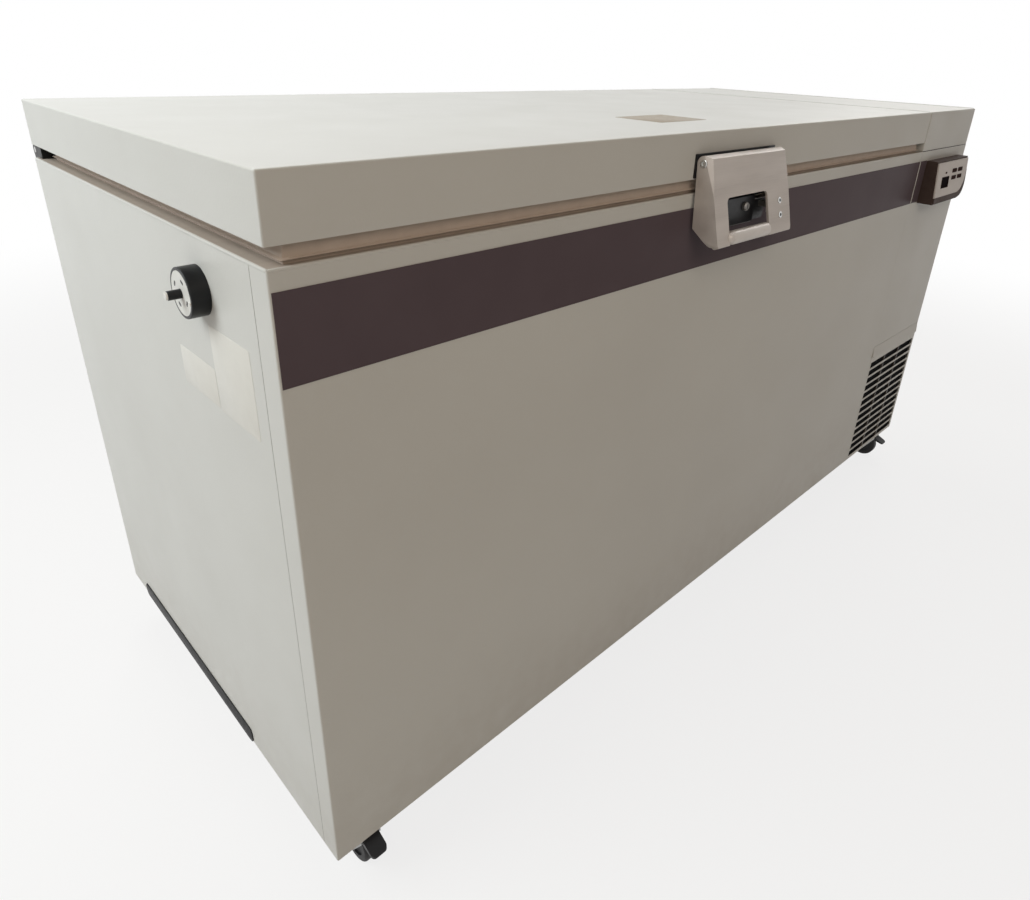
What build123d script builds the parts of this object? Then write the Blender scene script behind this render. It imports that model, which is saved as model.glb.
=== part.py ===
from build123d import *
from math import atan2, cos, radians, sin, tan
import os

# Ultra low temperature chest freezer: an insulated steel tub with a hinged top lid,
# a compressor bay at its right end, and four casters. Millimetres, +Z up, front towards -Y,
# origin on the floor under the middle of the overall box.

# Cabinet envelope over the painted sheet
CABINET_W = 2040.0
CABINET_D = 852.0
BODY_H = 891.0
LID_GAP = 22.0
LID_H = 72.0
CASTER_H = 95.0
SHEET = 1.5
EDGE_R = 2.5
PANEL_SEAM = 1.0
CORNER_WRAP = 38.0
BAY_W = 329.0
LID_SEAM = 3.0
PAN_T = 3.0
COVER_JOINT = 2.0
COVER_SKIRT = 15.0

# Storage chamber, liner, frame and evaporator
WALL_SIDE = 110.0
WALL_FRONT = 130.0
WALL_FLOOR = 135.0
CHAMBER_R = 30.0
LINER_T = 2.0
FRAME_T = 4.0
FOAM_CLEAR = 0.3
COIL_T = 8.0
COIL_H = 12.0
COIL_TURNS = 9
COIL_START = 40.0
COIL_STOP = 170.0

# Lid
LID_LINER_T = 3.0
PLUG_CLEAR = 10.0
PLUG_DEPTH = 35.0
PLUG_R = 22.0
GASKET_SIDE = 17.0
GASKET_FRONT = 4.0
GASKET_REAR = 42.0
GASKET_W = 34.0
GASKET_LIP = 4.0
GASKET_WAIST = 9.0
GASKET_RELIEF = 0.3

# Lid hinges
HINGE_W = 60.0
HINGE_INSET = 6.0
HINGE_OUT = 16.0
KNUCKLE_R = 11.0
KNUCKLE_W = 24.0
HINGE_PLATE_T = 6.0
HINGE_PLATE_H = 110.0
HINGE_EAR_H = 60.0
HINGE_TONGUE = 24.0
HINGE_CLEAR = 1.0
LEAF_W = 50.0
LEAF_WEB = 15.0
PIN_D = 10.0
RUN_CLEAR = 0.05
SIDE_CLEAR = 0.3

# Latch handle on the lid
HANDLE_X = 708.0
HANDLE_W = 237.0
HANDLE_WALL = 4.0
PIVOT_OUT = 15.0
PIVOT_UP = 26.0
PIVOT_R = 12.0
PIVOT_PIN_D = 8.0
BROW_OUT = 27.0
BROW_DROP = 3.5
TOE_OUT = 60.0
TOE_DROP = 125.0
LIP_OUT = 47.0
LIP_DROP = 131.0
LIP_H = 5.0
HEEL_OUT = 8.5
HEEL_DROP = 102.0
WINDOW_X = 37.0
WINDOW_W = 126.0
WINDOW_DROP = 52.0
WINDOW_R = 9.0
GRIP_D = 20.0
GRIP_OUT = 53.0
GRIP_DROP = 115.0
GRIP_END_R = 8.0
GRIP_GAP = 1.5
GRIP_CORE_D = 8.0
GRIP_TUCK = 4.0
EDGE_SOFT = 2.0
FACET_X = 6.0
FACET_DROP = 58.0
TOE_R = 14.0

# Handle mount on the lid
MOUNT_MARGIN = 3.0
MOUNT_T = 2.5
MOUNT_TOP = 1.0
EAR_T = 6.0
EAR_R = 7.0
EAR_GAP = 2.0

# Strike, hook and lock on the cabinet front
STRIKE_X = 46.0
STRIKE_END = 7.0
STRIKE_PLATE_T = 3.0
STRIKE_TOP = 54.0
STRIKE_BOTTOM = 112.0
STRIKE_R = 6.0
STRIKE_BAR_D = 8.0
STRIKE_BAR_OUT = 16.0
STRIKE_BAR_DROP = 68.0
STRIKE_EAR_T = 6.0
HOOK_BAY = 73.0
BOSS_OUT = 26.0
BOSS_INSET = 5.0
LOCK_D = 15.0
LOCK_X = 33.0
LOCK_UP = 6.0
LOCK_L = 14.0
LOCK_PROUD = 6.0
LOCK_SLOT_W = 2.5
LOCK_SLOT_L = 8.0
LOCK_SLOT_DEEP = 5.0
HOOK_W = 32.0
HOOK_PLATE_T = 4.0
HOOK_PLATE_UP = 20.0
HOOK_FINGER_T = 9.0
HOOK_UNDER = 2.0
HOOK_AHEAD = 1.2

# Dark band across the front
BAND_T = 0.8
BAND_DROP = 23.0
BAND_H = 104.0
BAND_INSET = 1.0

# Access port on the left side
PORT_Y = 178.0
PORT_DROP = 64.0
PORT_D = 60.0
PORT_COLLAR_L = 22.0
PORT_REACH = 38.0
PORT_RECESS_D = 53.0
PORT_DISC_T = 3.0
PORT_SPIGOT_D = 30.0
PORT_STEM_D = 11.0
PORT_STEM_CLEAR = 0.1
PORT_TRAVEL = 6.0
PORT_FIT = 0.3
PORT_SLOT_L = 7.0
PORT_SLOT_W = 3.0
PORT_SLOT_R = 17.0

# Edge guard on the lower left edge
GUARD_Y = 271.0
GUARD_L = 501.0
GUARD_H = 15.0
GUARD_T = 2.0
GUARD_FOOT = 10.0
GUARD_END_R = 9.0

# Control panel on the compressor bay front
CONTROL_X = 47.0
CONTROL_W = 232.0
CONTROL_DROP = 24.0
CONTROL_H = 107.0
CONTROL_TOP_OUT = 27.0
CONTROL_LEAN = 10.0
CONTROL_R = 47.0
CONTROL_SOFT = 4.0
CONTROL_WALL = 3.0
FASCIA_T = 3.0
FASCIA_INSET = 4.0
DISPLAY_X = 40.0
DISPLAY_W = 52.0
DISPLAY_H = 27.0
DISPLAY_UP = 12.0
DISPLAY_T = 2.6
KEY_X = 112.0
KEY_W = 34.0
KEY_H = 10.0
KEY_PITCH_X = 44.0
KEY_PITCH_Y = 18.0
KEY_UP = 24.0
KEY_FIT = 0.3
KEY_TRAVEL = 0.8
KEY_T = 2.6
KEY_R = 2.0

# Grille and filter
GRILLE_H = 365.0
GRILLE_ROWS = 13
GRILLE_PITCH = 24.0
GRILLE_SLOT_H = 18.0
GRILLE_RIBS = 2
GRILLE_RIB_W = 6.0
GRILLE_RIB_T = 4.0
GRILLE_MARGIN = 8.0
GRILLE_FIRST = 18.5
GRILLE_LIP_H = 33.0
GRILLE_LIP_OUT = 3.0
FILTER_T = 12.0
FILTER_MARGIN = 6.0

# Condenser, fan and compressors in the bay
CONDENSER_W = 284.0
CONDENSER_T = 50.0
CONDENSER_H = 340.0
CONDENSER_Y = 45.0
FIN_PITCH = 12.0
FIN_GAP = 8.0
FIN_HEADER = 16.0
SHROUD_T = 3.0
SHROUD_RING_L = 42.0
SHROUD_RING_T = 3.0
FAN_D = 230.0
FAN_CLEAR = 4.0
FAN_HUB_D = 56.0
FAN_HUB_L = 30.0
FAN_BLADES = 5
FAN_BLADE_T = 2.0
FAN_CHORD = 62.0
FAN_PITCH = 24.0
FAN_SET_BACK = 6.0
MOTOR_D = 72.0
MOTOR_L = 58.0
MOTOR_ARM_W = 14.0
MOTOR_ARM_T = 6.0
SHAFT_D = 8.0
COMPRESSOR_D = 190.0
COMPRESSOR_H = 214.0
COMPRESSOR_DOME = 58.0
COMPRESSOR_FOOT_W = 236.0
COMPRESSOR_FOOT_D = 170.0
COMPRESSOR_FOOT_T = 4.0
COMPRESSOR_NECK_D = 120.0
COMPRESSOR_NECK_H = 10.0
COMPRESSOR_Y = 330.0
COMPRESSOR_PITCH = 260.0
TERMINAL_W = 40.0
TERMINAL_D = 60.0
TERMINAL_H = 70.0
FOOT_D = 30.0
FOOT_H = 18.0
FOOT_INSET = 20.0
FOOT_BORE = 12.0
EXCHANGER_W = 120.0
EXCHANGER_D = 210.0
EXCHANGER_H = 330.0
EXCHANGER_REAR = 82.0
EXCHANGER_UP = 430.0
EXCHANGER_R = 25.0
ELECTRICS_W = 240.0
ELECTRICS_D = 90.0
ELECTRICS_H = 260.0
ELECTRICS_UP = 420.0
ELECTRICS_R = 6.0

# Vents and cable gland
VENT_L = 190.0
VENT_H = 8.0
VENT_PITCH_Y = 230.0
VENT_PITCH_Z = 26.0
VENT_COLUMNS = 3
VENT_ROWS = 12
VENT_UP = 210.0
REAR_VENT_L = 220.0
GLAND_D = 26.0
GLAND_FLANGE_D = 36.0
GLAND_L = 18.0
GLAND_FLANGE_T = 4.0
GLAND_X = 90.0
GLAND_UP = 60.0

# Casters
CASTER_X = 62.0
CASTER_Y = 75.0
WHEEL_D = 75.0
WHEEL_W = 25.0
WHEEL_SOFT = 5.0
WHEEL_DISH_R = 25.0
WHEEL_DISH = 3.0
HUB_R = 11.0
AXLE_D = 8.0
TRAIL = 28.0
FORK_T = 3.0
FORK_GAP = 2.0
FORK_HEAD = 44.0
FORK_HEAD_T = 4.7
FORK_BOSS_R = 12.0
CASTER_PLATE_L = 96.0
CASTER_PLATE_W = 76.0
CASTER_PLATE_T = 4.0
CASTER_PLATE_R = 8.0
CASTER_BOLT_X = 72.0
CASTER_BOLT_Y = 52.0
CASTER_BOLT_D = 9.0
RACE_D = 50.0
RACE_H = 6.0
RACE_CLEAR = 0.3
KINGPIN_D = 12.0
KINGPIN_TAIL = 0.7
BRAKE_REACH = 44.0
BRAKE_ANGLE = 50.0
BRAKE_BOSS_R = 5.0
BRAKE_PIN_D = 6.0
BRAKE_LUG_R = 7.0
BRAKE_TREAD_L = 34.0
BRAKE_TREAD_T = 4.0
BRAKE_CORNER = 9.0
BRAKE_DROOP = 18.0
BRAKE_SIDE = 0.5

# Datum planes worked out from the driving dimensions
HANDLE_REACH = GRIP_OUT + GRIP_D / 2
HINGE_REACH = HINGE_OUT + KNUCKLE_R
LEFT = PORT_REACH - (CABINET_W + PORT_REACH) / 2
RIGHT = LEFT + CABINET_W
FRONT = HANDLE_REACH - (HANDLE_REACH + CABINET_D + HINGE_REACH) / 2
REAR = FRONT + CABINET_D
BASE = CASTER_H
RIM = BASE + BODY_H
LID_BOTTOM = RIM + LID_GAP
TOP = LID_BOTTOM + LID_H
BAY_X = RIGHT - BAY_W
LID_RIGHT = BAY_X - LID_SEAM
PAN_TOP = BASE + PAN_T
BAY_MID = (BAY_X + RIGHT - SHEET) / 2
FRONT_PLANE = Plane.XZ.offset(-FRONT)
REAR_PLANE = Plane.XZ.offset(-REAR)

CHAMBER_LEFT = LEFT + WALL_SIDE
CHAMBER_RIGHT = BAY_X - WALL_SIDE
CHAMBER_FRONT = FRONT + WALL_FRONT
CHAMBER_REAR = REAR - WALL_FRONT
CHAMBER_FLOOR = BASE + WALL_FLOOR
CHAMBER_W = CHAMBER_RIGHT - CHAMBER_LEFT
CHAMBER_D = CHAMBER_REAR - CHAMBER_FRONT
CHAMBER_MID = ((CHAMBER_LEFT + CHAMBER_RIGHT) / 2, (CHAMBER_FRONT + CHAMBER_REAR) / 2)
FRAME_BOTTOM = RIM - FRAME_T

HINGE_Y = REAR + HINGE_OUT
HINGE_Z = RIM + LID_GAP / 2
PIVOT_Y = FRONT - PIVOT_OUT
PIVOT_Z = LID_BOTTOM + PIVOT_UP
HANDLE_LEFT = LEFT + HANDLE_X
HANDLE_RIGHT = HANDLE_LEFT + HANDLE_W
BAND_FACE = FRONT - BAND_T

os.makedirs("parts", exist_ok=True)


def save(part, name):
    """Label a finished piece and write it as its own node."""
    part.label = name
    export_step(part, f"parts/{name}.step")


def span(a0, a1, b0, b1, mode=Mode.ADD):
    """A rectangle between two corners in the sketch being drawn."""
    with Locations(((a0 + a1) / 2, (b0 + b1) / 2)):
        Rectangle(a1 - a0, b1 - b0, mode=mode)


def mouth(grow, mode=Mode.ADD):
    """The chamber's rounded plan, grown outwards by a margin, in the sketch being drawn."""
    with Locations(CHAMBER_MID):
        RectangleRounded(CHAMBER_W + 2 * grow, CHAMBER_D + 2 * grow, CHAMBER_R + grow, mode=mode)


# Front panel: one sheet along the tub, folded round the left corner
with BuildPart() as front_panel:
    with BuildSketch(Plane.XY.offset(BASE)) as plan:
        with BuildLine():
            Polyline(
                (LEFT, FRONT + CORNER_WRAP),
                (LEFT, FRONT),
                (BAY_X, FRONT),
                (BAY_X, FRONT + SHEET),
                (LEFT + SHEET, FRONT + SHEET),
                (LEFT + SHEET, FRONT + CORNER_WRAP),
                close=True,
            )
        make_face()
        fillet(plan.vertices().sort_by_distance((LEFT, FRONT))[:1], EDGE_R)
    extrude(amount=BODY_H)
save(front_panel.part, "front_panel")

# Left side panel with the hole for the access port
with BuildPart() as left_side_panel:
    with BuildSketch(Plane.YZ.offset(LEFT)):
        span(FRONT + CORNER_WRAP + PANEL_SEAM, REAR, BASE, RIM)
        with Locations((FRONT + PORT_Y, RIM - PORT_DROP)):
            Circle(PORT_SPIGOT_D / 2 + PORT_FIT, mode=Mode.SUBTRACT)
    extrude(amount=SHEET)
save(left_side_panel.part, "left_side_panel")

# Right side panel with rows of air outlet slots
with BuildPart() as right_side_panel:
    with BuildSketch(Plane.YZ.offset(RIGHT - SHEET)):
        span(FRONT, REAR, BASE, RIM)
        with Locations(((FRONT + REAR) / 2, BASE + VENT_UP)):
            with GridLocations(VENT_PITCH_Y, VENT_PITCH_Z, VENT_COLUMNS, VENT_ROWS):
                SlotOverall(VENT_L, VENT_H, mode=Mode.SUBTRACT)
    extrude(amount=SHEET)
save(right_side_panel.part, "right_side_panel")

# Rear panel, slotted behind the compressor bay
with BuildPart() as rear_panel:
    with BuildSketch(REAR_PLANE):
        span(LEFT + SHEET, RIGHT - SHEET, BASE, RIM)
        with Locations((BAY_MID, BASE + VENT_UP + VENT_PITCH_Z)):
            with GridLocations(REAR_VENT_L, VENT_PITCH_Z, 1, VENT_ROWS):
                SlotOverall(REAR_VENT_L, VENT_H, mode=Mode.SUBTRACT)
    extrude(amount=SHEET)
save(rear_panel.part, "rear_panel")

# Base pan that carries the tub, the machinery and the casters
with BuildPart() as base_pan:
    with BuildSketch(Plane.XY.offset(BASE)):
        span(LEFT + SHEET, RIGHT - SHEET, FRONT + SHEET, REAR - SHEET)
    extrude(amount=PAN_T)
save(base_pan.part, "base_pan")

# Partition between the insulated tub and the compressor bay
with BuildPart() as bay_partition:
    with BuildSketch(Plane.YZ.offset(BAY_X - SHEET)):
        span(FRONT + SHEET, REAR - SHEET, PAN_TOP, RIM)
    extrude(amount=SHEET)
save(bay_partition.part, "bay_partition")

# Front panel of the compressor bay, above the grille
with BuildPart() as bay_front_panel:
    with BuildSketch(FRONT_PLANE):
        span(BAY_X + PANEL_SEAM, RIGHT - SHEET, BASE + GRILLE_H + PANEL_SEAM, RIM)
    extrude(amount=-SHEET)
save(bay_front_panel.part, "bay_front_panel")

# Fixed top cover of the bay: a folded pan with a skirt that drops inside the panels
with BuildPart() as bay_top_cover:
    with BuildSketch(Plane.XY.offset(RIM + COVER_JOINT)):
        span(BAY_X, RIGHT, FRONT, REAR)
    extrude(amount=TOP - RIM - COVER_JOINT)
    fillet(bay_top_cover.edges().filter_by(Axis.Z), EDGE_R)
    fillet(bay_top_cover.faces().sort_by(Axis.Z)[-1].edges(), EDGE_R)
    with BuildSketch(Plane.XY.offset(RIM + COVER_JOINT)):
        span(BAY_X + SHEET, RIGHT - SHEET, FRONT + SHEET, REAR - SHEET)
    extrude(amount=TOP - RIM - COVER_JOINT - SHEET, mode=Mode.SUBTRACT)
    with BuildSketch(Plane.XY.offset(RIM - COVER_SKIRT)):
        span(BAY_X + SHEET, RIGHT - SHEET, FRONT + SHEET, REAR - SHEET)
        span(
            BAY_X + 2 * SHEET, RIGHT - 2 * SHEET, FRONT + 2 * SHEET, REAR - 2 * SHEET, Mode.SUBTRACT
        )
    extrude(amount=2 * COVER_SKIRT)
save(bay_top_cover.part, "bay_top_cover")

# Dark band: a thin strip along the tub, carried on across the bay to the control panel
with BuildPart() as front_band:
    with BuildSketch(FRONT_PLANE):
        span(LEFT + EDGE_R, BAY_X - BAND_INSET, RIM - BAND_DROP - BAND_H, RIM - BAND_DROP)
        span(
            BAY_X + PANEL_SEAM + BAND_INSET,
            BAY_X + CONTROL_X - BAND_INSET,
            RIM - BAND_DROP - BAND_H,
            RIM - BAND_DROP,
        )
    extrude(amount=BAND_T)
save(front_band.part, "front_band")

# Breaker frame round the chamber mouth
with BuildPart() as breaker_frame:
    with BuildSketch(Plane.XY.offset(FRAME_BOTTOM)):
        span(LEFT + SHEET, BAY_X - SHEET, FRONT + SHEET, REAR - SHEET)
        mouth(0, Mode.SUBTRACT)
    extrude(amount=FRAME_T)
save(breaker_frame.part, "breaker_frame")

# Stainless liner of the storage chamber
with BuildPart() as inner_liner:
    with BuildSketch(Plane.XY.offset(CHAMBER_FLOOR - LINER_T)):
        mouth(LINER_T)
    extrude(amount=FRAME_BOTTOM - CHAMBER_FLOOR + LINER_T)
    with BuildSketch(Plane.XY.offset(CHAMBER_FLOOR)):
        mouth(0)
    extrude(amount=FRAME_BOTTOM - CHAMBER_FLOOR, mode=Mode.SUBTRACT)
save(inner_liner.part, "inner_liner")

# Evaporator: flat tube turns bound round the liner
COIL_RISE = (FRAME_BOTTOM - COIL_STOP - CHAMBER_FLOOR - COIL_START) / (COIL_TURNS - 1)
coil_planes = [Plane.XY.offset(CHAMBER_FLOOR + COIL_START + i * COIL_RISE) for i in range(COIL_TURNS)]
with BuildPart() as evaporator_coil:
    with BuildSketch(*coil_planes):
        mouth(LINER_T + COIL_T)
        mouth(LINER_T, Mode.SUBTRACT)
    extrude(amount=COIL_H)
save(evaporator_coil.part, "evaporator_coil")

# Foamed insulation between the sheet, the liner and the evaporator
with BuildPart() as insulation_foam:
    with BuildSketch(Plane.XY.offset(PAN_TOP)):
        span(LEFT + SHEET, BAY_X - SHEET, FRONT + SHEET, REAR - SHEET)
    extrude(amount=FRAME_BOTTOM - PAN_TOP)
    with BuildSketch(Plane.XY.offset(CHAMBER_FLOOR - LINER_T)):
        mouth(LINER_T + FOAM_CLEAR)
    extrude(amount=FRAME_BOTTOM - CHAMBER_FLOOR + LINER_T, mode=Mode.SUBTRACT)
    with BuildSketch(coil_planes[0]):
        mouth(LINER_T + COIL_T + FOAM_CLEAR)
    extrude(amount=COIL_RISE * (COIL_TURNS - 1) + COIL_H, mode=Mode.SUBTRACT)
save(insulation_foam.part, "insulation_foam")

# Edge guard pressed over the lower left edge of the cabinet
with BuildPart() as edge_guard:
    with BuildSketch(Plane.XZ.offset(-FRONT - GUARD_Y)):
        with BuildLine():
            Polyline(
                (LEFT - GUARD_T, BASE - GUARD_T),
                (LEFT + GUARD_FOOT, BASE - GUARD_T),
                (LEFT + GUARD_FOOT, BASE),
                (LEFT, BASE),
                (LEFT, BASE + GUARD_H),
                (LEFT - GUARD_T, BASE + GUARD_H),
                close=True,
            )
        make_face()
    extrude(amount=-GUARD_L)
    fillet(edge_guard.edges().filter_by(Axis.X).group_by(Axis.Z)[-1], GUARD_END_R)
save(edge_guard.part, "edge_guard")

# Access port: a black collar with a recessed white disc and a stem that pushes in
PORT_AT = (FRONT + PORT_Y, RIM - PORT_DROP)
PORT_FACE = LEFT - PORT_COLLAR_L
with BuildPart() as port_collar:
    with BuildSketch(Plane.YZ.offset(PORT_FACE)):
        with Locations(PORT_AT):
            Circle(PORT_D / 2)
    extrude(amount=PORT_COLLAR_L)
    fillet(port_collar.edges().group_by(Axis.X)[0], EDGE_R / 2)
    with BuildSketch(Plane.YZ.offset(LEFT)):
        with Locations(PORT_AT):
            Circle(PORT_SPIGOT_D / 2)
    extrude(amount=SHEET)
    with BuildSketch(Plane.YZ.offset(PORT_FACE)):
        with Locations(PORT_AT):
            Circle(PORT_RECESS_D / 2)
    extrude(amount=PORT_DISC_T, mode=Mode.SUBTRACT)
    with BuildSketch(Plane.YZ.offset(PORT_FACE)):
        with Locations(PORT_AT):
            Circle(PORT_STEM_D / 2 + PORT_STEM_CLEAR)
    extrude(amount=PORT_COLLAR_L, mode=Mode.SUBTRACT)
save(port_collar.part, "port_collar")

with BuildPart() as port_disc:
    with BuildSketch(Plane.YZ.offset(PORT_FACE)):
        with Locations(PORT_AT):
            Circle(PORT_RECESS_D / 2 - PORT_FIT)
            Circle(PORT_STEM_D / 2 + PORT_FIT, mode=Mode.SUBTRACT)
            with PolarLocations(PORT_SLOT_R, 4, start_angle=30):
                SlotOverall(PORT_SLOT_L, PORT_SLOT_W, rotation=90, mode=Mode.SUBTRACT)
    extrude(amount=PORT_DISC_T)
save(port_disc.part, "port_disc")

with BuildPart() as port_plunger:
    with BuildSketch(Plane.YZ.offset(LEFT - PORT_REACH)):
        with Locations(PORT_AT):
            Circle(PORT_STEM_D / 2)
    extrude(amount=PORT_REACH - PORT_TRAVEL - SHEET)
    chamfer(port_plunger.edges().group_by(Axis.X)[0], EDGE_R / 2)
save(port_plunger.part, "port_plunger")


# Lid: folded steel pan, foam core, inner liner with a plug, and a bellows gasket
with BuildPart() as lid_shell:
    with BuildSketch(Plane.XY.offset(LID_BOTTOM)):
        span(LEFT, LID_RIGHT, FRONT, REAR)
    extrude(amount=LID_H)
    fillet(lid_shell.edges().filter_by(Axis.Z), EDGE_R)
    fillet(lid_shell.faces().sort_by(Axis.Z)[-1].edges(), EDGE_R)
    with BuildSketch(Plane.XY.offset(LID_BOTTOM)):
        span(LEFT + SHEET, LID_RIGHT - SHEET, FRONT + SHEET, REAR - SHEET)
    extrude(amount=LID_H - SHEET, mode=Mode.SUBTRACT)
save(lid_shell.part, "lid_shell")


def plug(shrink):
    """The lid plug's rounded plan, set in from the chamber mouth, in the sketch being drawn."""
    inset = PLUG_CLEAR + shrink
    with Locations(CHAMBER_MID):
        RectangleRounded(CHAMBER_W - 2 * inset, CHAMBER_D - 2 * inset, PLUG_R - shrink)


PLUG_BOTTOM = RIM - PLUG_DEPTH
with BuildPart() as lid_liner:
    with BuildSketch(Plane.XY.offset(LID_BOTTOM)):
        span(LEFT + SHEET, LID_RIGHT - SHEET, FRONT + SHEET, REAR - SHEET)
    extrude(amount=LID_LINER_T)
    with BuildSketch(Plane.XY.offset(PLUG_BOTTOM)):
        plug(0)
    extrude(amount=LID_BOTTOM - PLUG_BOTTOM)
    fillet(lid_liner.faces().sort_by(Axis.Z)[0].edges(), LID_LINER_T)
    with BuildSketch(Plane.XY.offset(PLUG_BOTTOM + LID_LINER_T)):
        plug(LID_LINER_T)
    extrude(amount=LID_BOTTOM - PLUG_BOTTOM, mode=Mode.SUBTRACT)
save(lid_liner.part, "lid_liner")

with BuildPart() as lid_foam:
    with BuildSketch(Plane.XY.offset(LID_BOTTOM + LID_LINER_T)):
        span(LEFT + SHEET, LID_RIGHT - SHEET, FRONT + SHEET, REAR - SHEET)
    extrude(amount=LID_H - LID_LINER_T - SHEET)
    with BuildSketch(Plane.XY.offset(PLUG_BOTTOM + LID_LINER_T)):
        plug(LID_LINER_T + FOAM_CLEAR)
    extrude(amount=LID_BOTTOM - PLUG_BOTTOM)
save(lid_foam.part, "lid_foam")


def gasket_ring(inset):
    """One layer of the gasket: a rectangular ring set in from both of its edges."""
    span(
        LEFT + GASKET_SIDE + inset,
        LID_RIGHT - GASKET_SIDE - inset,
        FRONT + GASKET_FRONT + inset,
        REAR - GASKET_REAR - inset,
    )
    inner = GASKET_W - inset
    span(
        LEFT + GASKET_SIDE + inner,
        LID_RIGHT - GASKET_SIDE - inner,
        FRONT + GASKET_FRONT + inner,
        REAR - GASKET_REAR - inner,
        Mode.SUBTRACT,
    )


GASKET_H = LID_GAP - GASKET_RELIEF
gasket_insets = [GASKET_LIP, 0, GASKET_WAIST, 0, GASKET_LIP]
GASKET_LAYER = GASKET_H / len(gasket_insets)
with BuildPart() as lid_gasket:
    for level, inset in enumerate(gasket_insets):
        with BuildSketch(Plane.XY.offset(RIM + GASKET_RELIEF + level * GASKET_LAYER)):
            gasket_ring(inset)
        extrude(amount=GASKET_LAYER)
save(lid_gasket.part, "lid_gasket")

# Hinges: cast brackets on the rear of the cabinet, leaves on the lid, and their pins
hinge_centres = [
    LEFT + HINGE_INSET + HINGE_W / 2,
    (LEFT + LID_RIGHT) / 2,
    LID_RIGHT - HINGE_INSET - HINGE_W / 2,
]
KNUCKLE_HALF = KNUCKLE_W / 2
with BuildPart() as hinge_brackets:
    with BuildSketch(*[Plane.YZ.offset(x - HINGE_W / 2) for x in hinge_centres]):
        span(REAR, REAR + HINGE_PLATE_T, RIM - HINGE_PLATE_H, RIM - HINGE_CLEAR)
        span(REAR - HINGE_TONGUE, REAR, RIM, LID_BOTTOM - HINGE_CLEAR)
    extrude(amount=HINGE_W)
    ear_starts = [x + s for x in hinge_centres for s in (-HINGE_W / 2, KNUCKLE_HALF)]
    with BuildSketch(*[Plane.YZ.offset(x) for x in ear_starts]):
        span(REAR, REAR + HINGE_PLATE_T, RIM - HINGE_EAR_H, LID_BOTTOM - HINGE_CLEAR)
        with Locations((HINGE_Y, HINGE_Z)):
            Circle(KNUCKLE_R)
        make_hull()
        with Locations((HINGE_Y, HINGE_Z)):
            Circle(PIN_D / 2 + RUN_CLEAR, mode=Mode.SUBTRACT)
    extrude(amount=HINGE_W / 2 - KNUCKLE_HALF)
save(hinge_brackets.part, "hinge_brackets")

with BuildPart() as hinge_leaves:
    with BuildSketch(*[Plane.YZ.offset(x - LEAF_W / 2) for x in hinge_centres]):
        span(REAR, REAR + HINGE_PLATE_T, LID_BOTTOM + HINGE_CLEAR, TOP - EDGE_R)
    extrude(amount=LEAF_W)
    with BuildSketch(*[Plane.YZ.offset(x - KNUCKLE_HALF + SIDE_CLEAR) for x in hinge_centres]):
        span(REAR, REAR + HINGE_PLATE_T, LID_BOTTOM + HINGE_CLEAR, LID_BOTTOM + LEAF_WEB)
        with Locations((HINGE_Y, HINGE_Z)):
            Circle(KNUCKLE_R)
        make_hull()
    extrude(amount=KNUCKLE_W - 2 * SIDE_CLEAR)
    with BuildSketch(*[Plane.YZ.offset(x - KNUCKLE_HALF) for x in hinge_centres]):
        with Locations((HINGE_Y, HINGE_Z)):
            Circle(PIN_D / 2 + RUN_CLEAR)
    extrude(amount=KNUCKLE_W, mode=Mode.SUBTRACT)
save(hinge_leaves.part, "hinge_leaves")

with BuildPart() as hinge_pins:
    with BuildSketch(*[Plane.YZ.offset(x - HINGE_W / 2) for x in hinge_centres]):
        with Locations((HINGE_Y, HINGE_Z)):
            Circle(PIN_D / 2)
    extrude(amount=HINGE_W)
save(hinge_pins.part, "hinge_pins")

# Latch handle: a folded hood that hangs from a pivot on the lid; a grip bar closes its window below
brow = (FRONT - BROW_OUT, PIVOT_Z + PIVOT_R - BROW_DROP)
toe = (FRONT - TOE_OUT, PIVOT_Z - TOE_DROP)
lip = (FRONT - LIP_OUT, PIVOT_Z - LIP_DROP)
heel = (FRONT - HEEL_OUT, PIVOT_Z - HEEL_DROP)
crown = (PIVOT_Y, PIVOT_Z + PIVOT_R)
nape = (PIVOT_Y + PIVOT_R, PIVOT_Z)
shoulder = (PIVOT_Y + PIVOT_R * cos(radians(45)), PIVOT_Z + PIVOT_R * sin(radians(45)))
LEAN = atan2(brow[0] - toe[0], brow[1] - toe[1])
SKIN = HANDLE_WALL / cos(LEAN)
CEILING = PIVOT_Z + PIVOT_R - HANDLE_WALL
LIP_TOP = toe[1] + LIP_H
WINDOW_LEFT = HANDLE_LEFT + WINDOW_X
WINDOW_RIGHT = WINDOW_LEFT + WINDOW_W
GRIP_AT = (FRONT - GRIP_OUT, PIVOT_Z - GRIP_DROP)


def hood_inside(z):
    """The inner face of the hood's front plate at a height."""
    return brow[0] - (brow[1] - z) * tan(LEAN) + SKIN


def facet_plane(side, inward):
    """The slanted facet beside the front plate, from the crown down to nothing at half height."""
    rear_corner = Vector(side, crown[0], crown[1])
    front_corner = Vector(side + inward, *brow)
    apex_z = brow[1] - FACET_DROP
    apex = Vector(side, brow[0] - FACET_DROP * tan(LEAN), apex_z)
    along = front_corner - rear_corner
    return Plane(rear_corner, along, along.cross(apex - rear_corner))


with BuildPart() as grip:
    with BuildSketch(Plane.YZ.offset(WINDOW_LEFT - GRIP_TUCK)):
        with Locations(GRIP_AT):
            Circle(GRIP_D / 2)
    extrude(amount=WINDOW_W + GRIP_TUCK - GRIP_GAP)
    fillet(grip.edges().filter_by(GeomType.CIRCLE), GRIP_END_R)
    with BuildSketch(Plane.YZ.offset(WINDOW_RIGHT - GRIP_D)):
        with Locations(GRIP_AT):
            Circle(GRIP_CORE_D / 2)
    extrude(amount=GRIP_D + GRIP_TUCK)

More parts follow.
